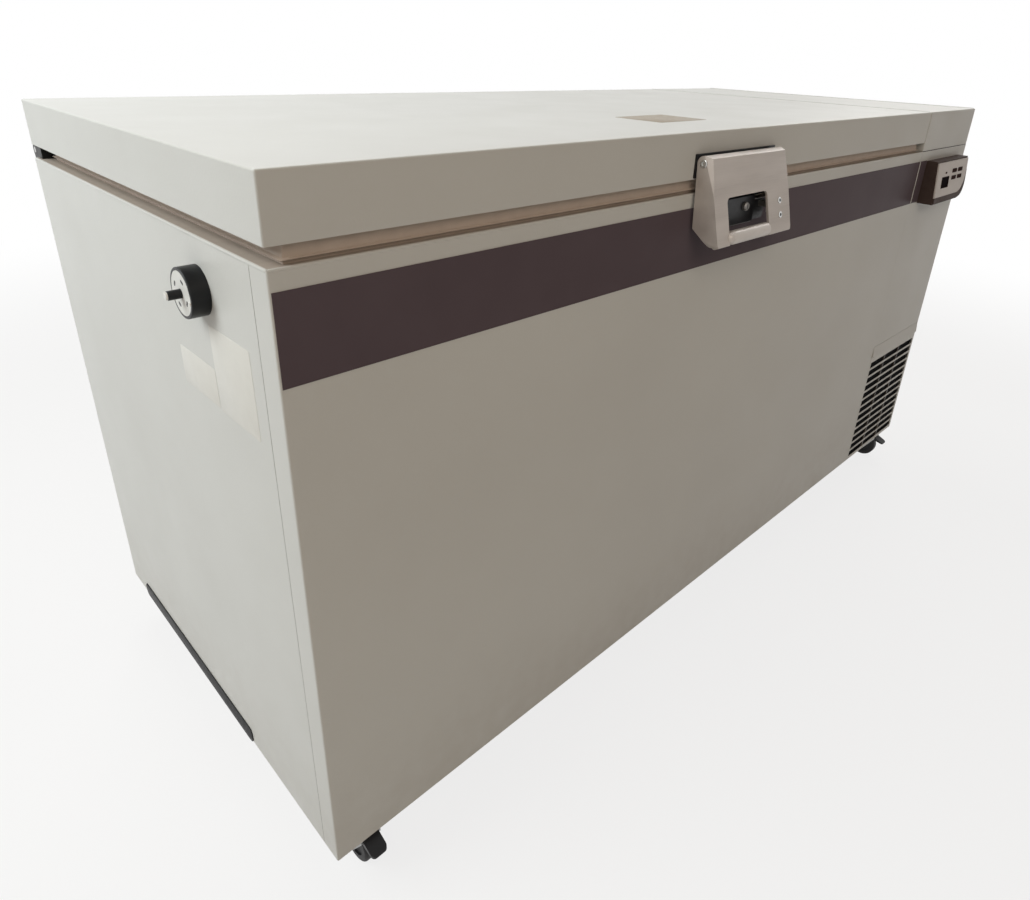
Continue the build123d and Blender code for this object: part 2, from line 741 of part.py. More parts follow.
with BuildPart() as latch_handle:
    with BuildSketch(Plane.YZ.offset(HANDLE_LEFT)):
        with BuildLine():
            Polyline(crown, brow, toe, lip, heel, nape)
            ThreePointArc(nape, shoulder, crown)
        make_face()
    extrude(amount=HANDLE_W)
    with BuildSketch(FRONT_PLANE) as face_outline:
        span(HANDLE_LEFT, HANDLE_RIGHT, lip[1], crown[1])
        fillet(face_outline.vertices().sort_by(Axis.Y)[:2], TOE_R)
    extrude(amount=HANDLE_REACH, mode=Mode.INTERSECT)
    front_edges = latch_handle.edges().filter_by(Axis.X).sort_by(Axis.Y)[:3]
    fillet(front_edges, EDGE_SOFT)
    split(bisect_by=facet_plane(HANDLE_LEFT, FACET_X), keep=Keep.TOP)
    split(bisect_by=facet_plane(HANDLE_RIGHT, -FACET_X), keep=Keep.BOTTOM)
    with BuildSketch(Plane.YZ.offset(HANDLE_LEFT + HANDLE_WALL)):
        with BuildLine():
            Polyline(
                (PIVOT_Y, CEILING),
                (hood_inside(CEILING), CEILING),
                (hood_inside(LIP_TOP), LIP_TOP),
                (lip[0], LIP_TOP),
                (lip[0], lip[1] - HANDLE_WALL),
                (FRONT + HANDLE_WALL, lip[1] - HANDLE_WALL),
                (FRONT + HANDLE_WALL, crown[1] + HANDLE_WALL),
                (PIVOT_Y, crown[1] + HANDLE_WALL),
                close=True,
            )
        make_face()
    extrude(amount=HANDLE_W - 2 * HANDLE_WALL, mode=Mode.SUBTRACT)
    with BuildSketch(FRONT_PLANE) as window:
        span(WINDOW_LEFT, WINDOW_RIGHT, lip[1] - HANDLE_WALL, PIVOT_Z - WINDOW_DROP)
        fillet(window.vertices().sort_by(Axis.Y)[-2:], WINDOW_R)
    extrude(amount=HANDLE_REACH, mode=Mode.SUBTRACT)
    with BuildSketch(Plane.YZ.offset(HANDLE_LEFT)):
        with Locations((PIVOT_Y, PIVOT_Z)):
            Circle(PIVOT_PIN_D / 2 + RUN_CLEAR)
    extrude(amount=HANDLE_W, mode=Mode.SUBTRACT)
    add(grip.part)
save(latch_handle.part, "latch_handle")

with BuildPart() as latch_pivot_pin:
    with BuildSketch(Plane.YZ.offset(HANDLE_LEFT)):
        with Locations((PIVOT_Y, PIVOT_Z)):
            Circle(PIVOT_PIN_D / 2)
    extrude(amount=HANDLE_W)
save(latch_pivot_pin.part, "latch_pivot_pin")

# Mount on the lid front that carries the handle's pivot between two ears
with BuildPart() as latch_mount:
    with BuildSketch(FRONT_PLANE):
        span(
            HANDLE_LEFT - MOUNT_MARGIN,
            HANDLE_RIGHT + MOUNT_MARGIN,
            LID_BOTTOM + EDGE_R,
            crown[1] + MOUNT_TOP,
        )
    extrude(amount=MOUNT_T)
    ear_offset = HANDLE_WALL + EAR_GAP
    ears = [HANDLE_LEFT + ear_offset, HANDLE_RIGHT - ear_offset - EAR_T]
    with BuildSketch(*[Plane.YZ.offset(x) for x in ears]):
        span(FRONT - MOUNT_T, FRONT, PIVOT_Z - 2 * EAR_R, PIVOT_Z)
        with Locations((PIVOT_Y, PIVOT_Z)):
            Circle(EAR_R)
        make_hull()
        with Locations((PIVOT_Y, PIVOT_Z)):
            Circle(PIVOT_PIN_D / 2 + RUN_CLEAR, mode=Mode.SUBTRACT)
    extrude(amount=EAR_T)
save(latch_mount.part, "latch_mount")

# Strike on the cabinet front: a backing plate with a lock boss and two ears that hold the bar
STRIKE_LEFT = HANDLE_LEFT + STRIKE_X
STRIKE_RIGHT = HANDLE_RIGHT - STRIKE_END
STRIKE_W = STRIKE_RIGHT - STRIKE_LEFT
BAR_Y = FRONT - STRIKE_BAR_OUT
BAR_Z = PIVOT_Z - STRIKE_BAR_DROP
BAR_LEFT = STRIKE_RIGHT - HOOK_BAY
BOSS_W = BAR_LEFT - STRIKE_LEFT - BOSS_INSET
BOSS_MID = (PIVOT_Z - STRIKE_TOP + PIVOT_Z - STRIKE_BOTTOM) / 2
BOSS_H = STRIKE_BOTTOM - STRIKE_TOP - 2 * BOSS_INSET
BOSS_FACE = FRONT - BOSS_OUT
LOCK_AT = (BAR_LEFT - LOCK_X, BOSS_MID + LOCK_UP)
with BuildPart() as strike_housing:
    with BuildSketch(Plane.XZ.offset(-BAND_FACE)):
        with Locations(((STRIKE_LEFT + STRIKE_RIGHT) / 2, BOSS_MID)):
            RectangleRounded(STRIKE_W, STRIKE_BOTTOM - STRIKE_TOP, STRIKE_R)
    extrude(amount=STRIKE_PLATE_T)
    with BuildSketch(Plane.XZ.offset(-BAND_FACE)):
        with Locations((STRIKE_LEFT + BOSS_INSET + BOSS_W / 2, BOSS_MID)):
            RectangleRounded(BOSS_W, BOSS_H, STRIKE_R)
    extrude(amount=BOSS_OUT - BAND_T)
    chamfer(strike_housing.faces().sort_by(Axis.Y)[0].edges(), EDGE_SOFT)
    with BuildSketch(Plane.XZ.offset(-BOSS_FACE)):
        with Locations(LOCK_AT):
            Circle(LOCK_D / 2 + RUN_CLEAR)
    extrude(amount=-LOCK_L, mode=Mode.SUBTRACT)
    strike_ears = [BAR_LEFT, STRIKE_RIGHT - STRIKE_EAR_T]
    with BuildSketch(*[Plane.YZ.offset(x) for x in strike_ears]):
        span(BAND_FACE - STRIKE_PLATE_T, BAND_FACE, BAR_Z - STRIKE_BAR_D, BAR_Z + STRIKE_BAR_D)
        with Locations((BAR_Y, BAR_Z)):
            Circle(STRIKE_BAR_D / 2)
        make_hull()
    extrude(amount=STRIKE_EAR_T)
save(strike_housing.part, "strike_housing")

with BuildPart() as strike_bar:
    with BuildSketch(Plane.YZ.offset(BAR_LEFT + STRIKE_EAR_T)):
        with Locations((BAR_Y, BAR_Z)):
            Circle(STRIKE_BAR_D / 2)
    extrude(amount=STRIKE_RIGHT - BAR_LEFT - 2 * STRIKE_EAR_T)
save(strike_bar.part, "strike_bar")

with BuildPart() as lock_cylinder:
    with BuildSketch(Plane.XZ.offset(-BOSS_FACE)):
        with Locations(LOCK_AT):
            Circle(LOCK_D / 2)
    extrude(amount=-LOCK_L + RUN_CLEAR)
    extrude(lock_cylinder.faces().sort_by(Axis.Y)[0], amount=LOCK_PROUD)
    chamfer(lock_cylinder.edges().group_by(Axis.Y)[0], EDGE_SOFT)
    with BuildSketch(Plane.XZ.offset(-BOSS_FACE + LOCK_PROUD)):
        with Locations(LOCK_AT):
            Rectangle(LOCK_SLOT_W, LOCK_SLOT_L)
    extrude(amount=-LOCK_SLOT_DEEP, mode=Mode.SUBTRACT)
save(lock_cylinder.part, "lock_cylinder")

# Hook inside the handle: a plate screwed behind the front with a finger that goes under the bar
HOOK_MID = (BAR_LEFT + STRIKE_RIGHT) / 2
FINGER_TOP = BAR_Z - STRIKE_BAR_D / 2 - HOOK_UNDER
FINGER_BOTTOM = FINGER_TOP - HOOK_FINGER_T
FINGER_TIP = BAR_Y - STRIKE_BAR_D / 2 - HOOK_AHEAD
PLATE_TOP = FINGER_TOP + HOOK_PLATE_UP
PLATE_BOTTOM = FINGER_BOTTOM - HOOK_PLATE_UP / 2
PLATE_SKIN = HOOK_PLATE_T / cos(LEAN)
with BuildPart() as latch_hook:
    with BuildSketch(Plane.YZ.offset(HOOK_MID - HOOK_W / 2)):
        with BuildLine():
            Polyline(
                (hood_inside(PLATE_TOP), PLATE_TOP),
                (hood_inside(PLATE_BOTTOM), PLATE_BOTTOM),
                (hood_inside(PLATE_BOTTOM) + PLATE_SKIN, PLATE_BOTTOM),
                (hood_inside(FINGER_BOTTOM) + PLATE_SKIN, FINGER_BOTTOM),
                (FINGER_TIP, FINGER_BOTTOM),
                (FINGER_TIP, FINGER_TOP),
                (hood_inside(FINGER_TOP) + PLATE_SKIN, FINGER_TOP),
                (hood_inside(PLATE_TOP) + PLATE_SKIN, PLATE_TOP),
                close=True,
            )
        make_face()
    extrude(amount=HOOK_W)
save(latch_hook.part, "latch_hook")

# Control panel: a leaning housing on the bay front, a fascia, a display window and four keys
CONTROL_LEFT = BAY_X + CONTROL_X
CONTROL_RIGHT = CONTROL_LEFT + CONTROL_W
CONTROL_TOP = RIM - CONTROL_DROP
CONTROL_BOTTOM = CONTROL_TOP - CONTROL_H
CONTROL_TILT = atan2(CONTROL_LEAN, CONTROL_H)
face_plane = Plane(
    origin=(CONTROL_LEFT, FRONT - CONTROL_TOP_OUT - CONTROL_LEAN / 2, (CONTROL_TOP + CONTROL_BOTTOM) / 2),
    x_dir=(1, 0, 0),
    z_dir=(0, -cos(CONTROL_TILT), sin(CONTROL_TILT)),
)
FASCIA_LEFT = FASCIA_INSET
FASCIA_RIGHT = CONTROL_W - FASCIA_INSET
FASCIA_HALF = CONTROL_H / 2 - FASCIA_INSET


def control_outline(inset):
    """The housing's front view, set in by a wall, with its large lower right corner."""
    with BuildSketch(FRONT_PLANE) as outline:
        span(
            CONTROL_LEFT + inset, CONTROL_RIGHT - inset, CONTROL_BOTTOM + inset, CONTROL_TOP - inset
        )
        corners = outline.vertices().sort_by_distance((CONTROL_RIGHT, CONTROL_BOTTOM))
        fillet(corners[:1], CONTROL_R - inset)
        fillet(outline.vertices().sort_by(Axis.X)[:2], CONTROL_SOFT)
    return outline.sketch


housing_outline = control_outline(0)
housing_inside = control_outline(CONTROL_WALL)
CONTROL_DEEP = CONTROL_TOP_OUT + CONTROL_LEAN + CONTROL_WALL
with BuildPart() as housing_hollow:
    extrude(housing_inside, amount=CONTROL_DEEP)
    split(bisect_by=face_plane.offset(-CONTROL_WALL), keep=Keep.BOTTOM)

with BuildPart() as control_housing:
    extrude(housing_outline, amount=CONTROL_DEEP)
    split(bisect_by=face_plane, keep=Keep.BOTTOM)
    add(housing_hollow.part, mode=Mode.SUBTRACT)
save(control_housing.part, "control_housing")

display_at = (DISPLAY_X + DISPLAY_W / 2, DISPLAY_UP - DISPLAY_H / 2)
key_places = [
    (KEY_X + KEY_W / 2 + column * KEY_PITCH_X, KEY_UP - row * KEY_PITCH_Y)
    for row in range(2)
    for column in range(2)
]
with BuildPart() as control_fascia:
    with BuildSketch(face_plane) as fascia:
        span(FASCIA_LEFT, FASCIA_RIGHT, -FASCIA_HALF, FASCIA_HALF)
        lower_right = fascia.vertices().sort_by_distance((FASCIA_RIGHT, -FASCIA_HALF))[:1]
        fillet(lower_right, CONTROL_R - FASCIA_INSET)
        with Locations(display_at):
            Rectangle(DISPLAY_W + 2 * KEY_FIT, DISPLAY_H + 2 * KEY_FIT, mode=Mode.SUBTRACT)
        with Locations(*key_places):
            RectangleRounded(
                KEY_W + 2 * KEY_FIT, KEY_H + 2 * KEY_FIT, KEY_R + KEY_FIT, mode=Mode.SUBTRACT
            )
    extrude(amount=FASCIA_T)
save(control_fascia.part, "control_fascia")

with BuildPart() as display_window:
    with BuildSketch(face_plane):
        with Locations(display_at):
            Rectangle(DISPLAY_W, DISPLAY_H)
    extrude(amount=DISPLAY_T)
save(display_window.part, "display_window")

KEY_FLOOR = KEY_TRAVEL + SIDE_CLEAR / 3
for number, place in enumerate(key_places, start=1):
    with BuildPart() as key:
        with BuildSketch(face_plane.offset(KEY_FLOOR)):
            with Locations(place):
                RectangleRounded(KEY_W, KEY_H, KEY_R)
        extrude(amount=KEY_T)
    save(key.part, f"panel_key_{number}")

# Grille of the compressor bay: slotted sheet with a lip along its top, ribs and the filter behind it
GRILLE_LEFT = BAY_X + PANEL_SEAM
GRILLE_RIGHT = RIGHT - SHEET
GRILLE_CLEAR_W = GRILLE_RIGHT - GRILLE_LEFT - 2 * GRILLE_MARGIN
GRILLE_MID = (GRILLE_LEFT + GRILLE_RIGHT) / 2
RIB_PLANE = Plane.XZ.offset(-FRONT - SHEET)
slot_rows_mid = BASE + GRILLE_FIRST + (GRILLE_ROWS - 1) * GRILLE_PITCH / 2
with BuildPart() as front_grille:
    with BuildSketch(FRONT_PLANE):
        span(GRILLE_LEFT, GRILLE_RIGHT, BASE, BASE + GRILLE_H)
        with Locations((GRILLE_MID, slot_rows_mid)):
            with GridLocations(GRILLE_CLEAR_W, GRILLE_PITCH, 1, GRILLE_ROWS):
                Rectangle(GRILLE_CLEAR_W, GRILLE_SLOT_H, mode=Mode.SUBTRACT)
    extrude(amount=-SHEET)
    with BuildSketch(RIB_PLANE):
        with Locations((GRILLE_MID, (PAN_TOP + BASE + GRILLE_H - GRILLE_LIP_H) / 2)):
            with GridLocations(GRILLE_CLEAR_W / (GRILLE_RIBS + 1), 0, GRILLE_RIBS, 1):
                Rectangle(GRILLE_RIB_W, BASE + GRILLE_H - GRILLE_LIP_H - PAN_TOP)
    extrude(amount=-GRILLE_RIB_T)
    with BuildSketch(Plane.YZ.offset(GRILLE_LEFT)):
        with BuildLine():
            Polyline(
                (FRONT, BASE + GRILLE_H),
                (FRONT - GRILLE_LIP_OUT, BASE + GRILLE_H - GRILLE_LIP_H + GRILLE_LIP_OUT),
                (FRONT, BASE + GRILLE_H - GRILLE_LIP_H),
                close=True,
            )
        make_face()
    extrude(amount=GRILLE_RIGHT - GRILLE_LEFT)
save(front_grille.part, "front_grille")

with BuildPart() as air_filter:
    with BuildSketch(RIB_PLANE.offset(-GRILLE_RIB_T)):
        span(
            GRILLE_LEFT + FILTER_MARGIN,
            GRILLE_RIGHT - FILTER_MARGIN,
            PAN_TOP,
            BASE + GRILLE_H - GRILLE_LIP_H,
        )
    extrude(amount=-FILTER_T)
save(air_filter.part, "air_filter")

# Condenser block with vertical fins
CONDENSER_FRONT = FRONT + CONDENSER_Y
CONDENSER_REAR = CONDENSER_FRONT + CONDENSER_T
FIN_COUNT = round((CONDENSER_W - 2 * FIN_HEADER) / FIN_PITCH)
with BuildPart() as condenser_coil:
    with BuildSketch(Plane.XZ.offset(-CONDENSER_FRONT)):
        span(
            BAY_MID - CONDENSER_W / 2, BAY_MID + CONDENSER_W / 2, PAN_TOP, PAN_TOP + CONDENSER_H
        )
        with Locations((BAY_MID, PAN_TOP + CONDENSER_H / 2)):
            with GridLocations(FIN_PITCH, CONDENSER_H, FIN_COUNT, 1):
                Rectangle(FIN_GAP, CONDENSER_H - 2 * FIN_HEADER, mode=Mode.SUBTRACT)
    extrude(amount=-CONDENSER_T)
save(condenser_coil.part, "condenser_coil")

# Fan: shroud with ring and motor arms, motor with its shaft, and the bladed rotor
FAN_AT = (BAY_MID, PAN_TOP + CONDENSER_H / 2)
RING_BORE = FAN_D / 2 + FAN_CLEAR
RING_REAR = CONDENSER_REAR + SHROUD_T + SHROUD_RING_L
ARM_REAR = RING_REAR + MOTOR_ARM_T
with BuildPart() as fan_shroud:
    with BuildSketch(Plane.XZ.offset(-CONDENSER_REAR)):
        span(
            BAY_MID - CONDENSER_W / 2, BAY_MID + CONDENSER_W / 2, PAN_TOP, PAN_TOP + CONDENSER_H
        )
        with Locations(FAN_AT):
            Circle(RING_BORE, mode=Mode.SUBTRACT)
    extrude(amount=-SHROUD_T)
    with BuildSketch(Plane.XZ.offset(-CONDENSER_REAR)):
        with Locations(FAN_AT):
            Circle(RING_BORE + SHROUD_RING_T)
            Circle(RING_BORE, mode=Mode.SUBTRACT)
    extrude(amount=-SHROUD_T - SHROUD_RING_L)
    with BuildSketch(Plane.XZ.offset(-RING_REAR)):
        with Locations(FAN_AT):
            Circle(MOTOR_D / 2)
            with PolarLocations(RING_BORE / 2 + SHROUD_RING_T / 2, 3, start_angle=90):
                Rectangle(RING_BORE + SHROUD_RING_T, MOTOR_ARM_W)
            Circle(SHAFT_D / 2 + SIDE_CLEAR, mode=Mode.SUBTRACT)
    extrude(amount=-MOTOR_ARM_T)
save(fan_shroud.part, "fan_shroud")

HUB_FRONT = CONDENSER_REAR + FAN_SET_BACK
with BuildPart() as fan_motor:
    with BuildSketch(Plane.XZ.offset(-ARM_REAR)):
        with Locations(FAN_AT):
            Circle(MOTOR_D / 2)
    extrude(amount=-MOTOR_L)
    fillet(fan_motor.edges().group_by(Axis.Y)[-1], EDGE_R)
    with BuildSketch(Plane.XZ.offset(-ARM_REAR)):
        with Locations(FAN_AT):
            Circle(SHAFT_D / 2)
    extrude(amount=ARM_REAR - HUB_FRONT)
save(fan_motor.part, "fan_motor")

HUB_MID = HUB_FRONT + FAN_HUB_L / 2
blade_span = (FAN_D - FAN_HUB_D) / 2 + EDGE_R
blade_mid = FAN_D / 2 - blade_span / 2
with BuildPart() as fan_rotor:
    with BuildSketch(Plane.XZ.offset(-HUB_FRONT)):
        with Locations(FAN_AT):
            Circle(FAN_HUB_D / 2)
    extrude(amount=-FAN_HUB_L)
    fillet(fan_rotor.edges().group_by(Axis.Y)[0], EDGE_R)
    for blade in range(FAN_BLADES):
        turn = radians(blade * 360 / FAN_BLADES)
        tilt = radians(FAN_PITCH)
        outward = Vector(cos(turn), 0, sin(turn))
        sideways = Vector(-sin(turn), 0, cos(turn))
        blade_plane = Plane(
            origin=Vector(FAN_AT[0], HUB_MID, FAN_AT[1]) + outward * blade_mid,
            x_dir=outward,
            z_dir=Vector(0, cos(tilt), 0) + sideways * sin(tilt),
        )
        with BuildSketch(blade_plane):
            RectangleRounded(blade_span - EDGE_R, FAN_CHORD, FAN_CHORD / 4)
        extrude(amount=FAN_BLADE_T / 2, both=True)
    with BuildSketch(Plane.XZ.offset(-HUB_FRONT)):
        with Locations(FAN_AT):
            Circle(SHAFT_D / 2 + RUN_CLEAR)
    extrude(amount=-FAN_HUB_L, mode=Mode.SUBTRACT)
save(fan_rotor.part, "fan_rotor")

# Two hermetic compressors of the cascade, on rubber feet
foot_x = COMPRESSOR_FOOT_W - 2 * FOOT_INSET
foot_y = COMPRESSOR_FOOT_D - 2 * FOOT_INSET
compressor_ys = [FRONT + COMPRESSOR_Y + stage * COMPRESSOR_PITCH for stage in range(2)]
with BuildPart() as compressor_feet:
    with BuildSketch(Plane.XY.offset(PAN_TOP)):
        with Locations(*[(BAY_MID, y) for y in compressor_ys]):
            with GridLocations(foot_x, foot_y, 2, 2):
                Circle(FOOT_D / 2)
                Circle(FOOT_BORE / 2, mode=Mode.SUBTRACT)
    extrude(amount=FOOT_H)
save(compressor_feet.part, "compressor_feet")

for y, stage in zip(compressor_ys, ("first", "second")):
    with BuildPart() as compressor:
        with BuildSketch(Plane.XY.offset(PAN_TOP + FOOT_H)):
            with Locations((BAY_MID, y)):
                RectangleRounded(COMPRESSOR_FOOT_W, COMPRESSOR_FOOT_D, FOOT_INSET)
                with GridLocations(foot_x, foot_y, 2, 2):
                    Circle(FOOT_BORE / 2, mode=Mode.SUBTRACT)
        extrude(amount=COMPRESSOR_FOOT_T)
        with BuildSketch(Plane.XY.offset(PAN_TOP + FOOT_H + COMPRESSOR_FOOT_T + COMPRESSOR_NECK_H)):
            with Locations((BAY_MID, y)):
                Circle(COMPRESSOR_D / 2)
        extrude(amount=COMPRESSOR_H)
        rims = compressor.edges().filter_by(GeomType.CIRCLE)
        fillet(rims.filter_by(lambda e: e.radius > COMPRESSOR_D / 3), COMPRESSOR_DOME)
        with BuildSketch(Plane.XY.offset(PAN_TOP + FOOT_H)):
            with Locations((BAY_MID, y)):
                Circle(COMPRESSOR_NECK_D / 2)
        extrude(amount=COMPRESSOR_NECK_H + COMPRESSOR_DOME)
        with BuildSketch(Plane.YZ.offset(BAY_MID)):
            with Locations((y, PAN_TOP + FOOT_H + COMPRESSOR_NECK_H + COMPRESSOR_H / 2)):
                RectangleRounded(TERMINAL_D, TERMINAL_H, EDGE_R)
        extrude(amount=COMPRESSOR_D / 2 + TERMINAL_W)
    save(compressor.part, f"{stage}_stage_compressor")

# Cascade heat exchanger in its insulated jacket, hung on the partition
with BuildPart() as cascade_exchanger:
    with BuildSketch(Plane.YZ.offset(BAY_X)):
        with Locations(
            (REAR - EXCHANGER_REAR - EXCHANGER_D / 2, BASE + EXCHANGER_UP + EXCHANGER_H / 2)
        ):
            RectangleRounded(EXCHANGER_D, EXCHANGER_H, EXCHANGER_R)
    extrude(amount=EXCHANGER_W)
    fillet(cascade_exchanger.faces().sort_by(Axis.X)[-1].edges(), EXCHANGER_R / 2)
save(cascade_exchanger.part, "cascade_exchanger")

# Electrical box behind the bay front panel
with BuildPart() as electrical_box:
    with BuildSketch(Plane.XZ.offset(-FRONT - SHEET)):
        with Locations((BAY_MID, BASE + ELECTRICS_UP + ELECTRICS_H / 2)):
            RectangleRounded(ELECTRICS_W, ELECTRICS_H, ELECTRICS_R)
    extrude(amount=-ELECTRICS_D)
save(electrical_box.part, "electrical_box")

# Closed cable gland on the rear panel where the supply enters
with BuildPart() as cable_gland:
    with BuildSketch(REAR_PLANE):
        with Locations((RIGHT - GLAND_X, BASE + GLAND_UP)):
            Circle(GLAND_FLANGE_D / 2)
    extrude(amount=-GLAND_FLANGE_T)
    with BuildSketch(REAR_PLANE):
        with Locations((RIGHT - GLAND_X, BASE + GLAND_UP)):
            RegularPolygon(GLAND_D / 2, 6)
    extrude(amount=-GLAND_L)
    chamfer(cable_gland.faces().sort_by(Axis.Y)[-1].edges(), EDGE_R)
save(cable_gland.part, "cable_gland")

# Casters: plates with kingpins under the base pan, forks, wheels, and brakes on the front pair
AXLE_Z = WHEEL_D / 2
PLATE_BOTTOM_Z = BASE - CASTER_PLATE_T
RACE_BOTTOM = PLATE_BOTTOM_Z - RACE_H
HEAD_TOP = RACE_BOTTOM - RACE_CLEAR
HEAD_BOTTOM = HEAD_TOP - FORK_HEAD_T
LEG_IN = WHEEL_W / 2 + FORK_GAP
LEG_OUT = LEG_IN + FORK_T
caster_sites = {
    "front_left": (LEFT + CASTER_X, FRONT + CASTER_Y),
    "front_right": (RIGHT - CASTER_X, FRONT + CASTER_Y),
    "rear_left": (LEFT + CASTER_X, REAR - CASTER_Y),
    "rear_right": (RIGHT - CASTER_X, REAR - CASTER_Y),
}
with BuildPart() as caster_plates:
    with BuildSketch(Plane.XY.offset(PLATE_BOTTOM_Z)):
        with Locations(*caster_sites.values()):
            RectangleRounded(CASTER_PLATE_L, CASTER_PLATE_W, CASTER_PLATE_R)
            with GridLocations(CASTER_BOLT_X, CASTER_BOLT_Y, 2, 2):
                Circle(CASTER_BOLT_D / 2, mode=Mode.SUBTRACT)
    extrude(amount=CASTER_PLATE_T)
    with BuildSketch(Plane.XY.offset(RACE_BOTTOM)):
        with Locations(*caster_sites.values()):
            Circle(RACE_D / 2)
    extrude(amount=RACE_H)
    with BuildSketch(Plane.XY.offset(HEAD_BOTTOM - KINGPIN_TAIL)):
        with Locations(*caster_sites.values()):
            Circle(KINGPIN_D / 2)
    extrude(amount=RACE_BOTTOM - HEAD_BOTTOM + KINGPIN_TAIL)
save(caster_plates.part, "caster_plates")


def axle_y(site, outward):
    """The wheel axle trails its kingpin towards the outside of the cabinet."""
    return site[1] + outward * TRAIL


def brake_pivot(site, outward):
    """The brake pedal's pivot behind and above a wheel's axle."""
    swing = radians(BRAKE_ANGLE)
    return (axle_y(site, outward) + outward * BRAKE_REACH * cos(swing), AXLE_Z + BRAKE_REACH * sin(swing))


def caster_fork(site, outward, braked):
    """A pressed fork under its kingpin, with the axle and, if braked, the pedal's pivot pin."""
    x, y = site
    axle = (axle_y(site, outward), AXLE_Z)
    with BuildPart() as fork:
        with BuildSketch(Plane.XY.offset(HEAD_BOTTOM)):
            with Locations((x, y)):
                Rectangle(2 * LEG_OUT, FORK_HEAD)
        extrude(amount=FORK_HEAD_T)
        with BuildSketch(Plane.YZ.offset(x - LEG_OUT), Plane.YZ.offset(x + LEG_IN)):
            span(y - FORK_HEAD / 2, y + FORK_HEAD / 2, HEAD_BOTTOM, HEAD_TOP)
            with Locations(axle):
                Circle(FORK_BOSS_R)
            if braked:
                with Locations(brake_pivot(site, outward)):
                    Circle(BRAKE_LUG_R)
            make_hull()
        extrude(amount=FORK_T)
        with BuildSketch(Plane.YZ.offset(x - LEG_OUT)):
            with Locations(axle):
                Circle(AXLE_D / 2)
            if braked:
                with Locations(brake_pivot(site, outward)):
                    Circle(BRAKE_PIN_D / 2)
        extrude(amount=2 * LEG_OUT)
        with BuildSketch(Plane.XY.offset(HEAD_BOTTOM)):
            with Locations((x, y)):
                Circle(KINGPIN_D / 2 + RUN_CLEAR)
        extrude(amount=FORK_HEAD_T, mode=Mode.SUBTRACT)
    return fork.part


def caster_wheel(site, outward):
    """A solid wheel with a rounded tread, dished sides and an axle bore."""
    x = site[0]
    hub = (axle_y(site, outward), AXLE_Z)
    with BuildPart() as wheel:
        with BuildSketch(Plane.YZ.offset(x - WHEEL_W / 2)):
            with Locations(hub):
                Circle(WHEEL_D / 2)
        extrude(amount=WHEEL_W)
        fillet(wheel.edges(), WHEEL_SOFT)
        with BuildSketch(
            Plane.YZ.offset(x - WHEEL_W / 2), Plane.YZ.offset(x + WHEEL_W / 2 - WHEEL_DISH)
        ):
            with Locations(hub):
                Circle(WHEEL_DISH_R)
                Circle(HUB_R, mode=Mode.SUBTRACT)
        extrude(amount=WHEEL_DISH, mode=Mode.SUBTRACT)
        with BuildSketch(Plane.YZ.offset(x - WHEEL_W / 2)):
            with Locations(hub):
                Circle(AXLE_D / 2 + RUN_CLEAR)
        extrude(amount=WHEEL_W, mode=Mode.SUBTRACT)
    return wheel.part


def brake_pedal(site, outward):
    """A foot pedal on the fork's pivot pin, drooping beyond the wheel when the brake is on."""
    x = site[0]
    pivot = brake_pivot(site, outward)
    droop = radians(BRAKE_DROOP)
    tread_end = (
        pivot[0] + outward * BRAKE_TREAD_L * cos(droop),
        pivot[1] - BRAKE_TREAD_L * sin(droop),
    )
    tread_reach = (pivot[0] - outward * BRAKE_BOSS_R, tread_end[0] + outward * BRAKE_TREAD_T / 2)
    half_width = LEG_IN - BRAKE_SIDE
    with BuildPart() as pedal:
        with BuildSketch(Plane.YZ.offset(x - half_width)):
            with Locations(pivot):
                Circle(BRAKE_BOSS_R)
            with Locations(tread_end):
                Circle(BRAKE_TREAD_T / 2)
            make_hull()
            with Locations(pivot):
                Circle(BRAKE_PIN_D / 2 + RUN_CLEAR, mode=Mode.SUBTRACT)
        extrude(amount=2 * half_width)
        with BuildSketch() as outline:
            span(x - half_width, x + half_width, *sorted(tread_reach))
            fillet(outline.vertices().sort_by(Axis((0, 0, 0), (0, outward, 0)))[-2:], BRAKE_CORNER)
        extrude(amount=BASE, mode=Mode.INTERSECT)
    return pedal.part


FORWARD = -1
BACKWARD = 1
for place in ("front_left", "front_right"):
    save(caster_fork(caster_sites[place], FORWARD, True), f"{place}_caster_fork")
    save(brake_pedal(caster_sites[place], FORWARD), f"{place}_brake_pedal")
for place, site in caster_sites.items():
    outward = FORWARD if place.startswith("front") else BACKWARD
    save(caster_wheel(site, outward), f"{place}_wheel")

rear_left_fork = caster_fork(caster_sites["rear_left"], BACKWARD, False)
rear_right_fork = caster_fork(caster_sites["rear_right"], BACKWARD, False)
with BuildPart() as rear_caster_forks:
    add(rear_left_fork)
    add(rear_right_fork)
save(rear_caster_forks.part, "rear_caster_forks")
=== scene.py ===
from math import cos, pi, radians, sin, tau

import bmesh
import bpy
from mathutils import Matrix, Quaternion, Vector


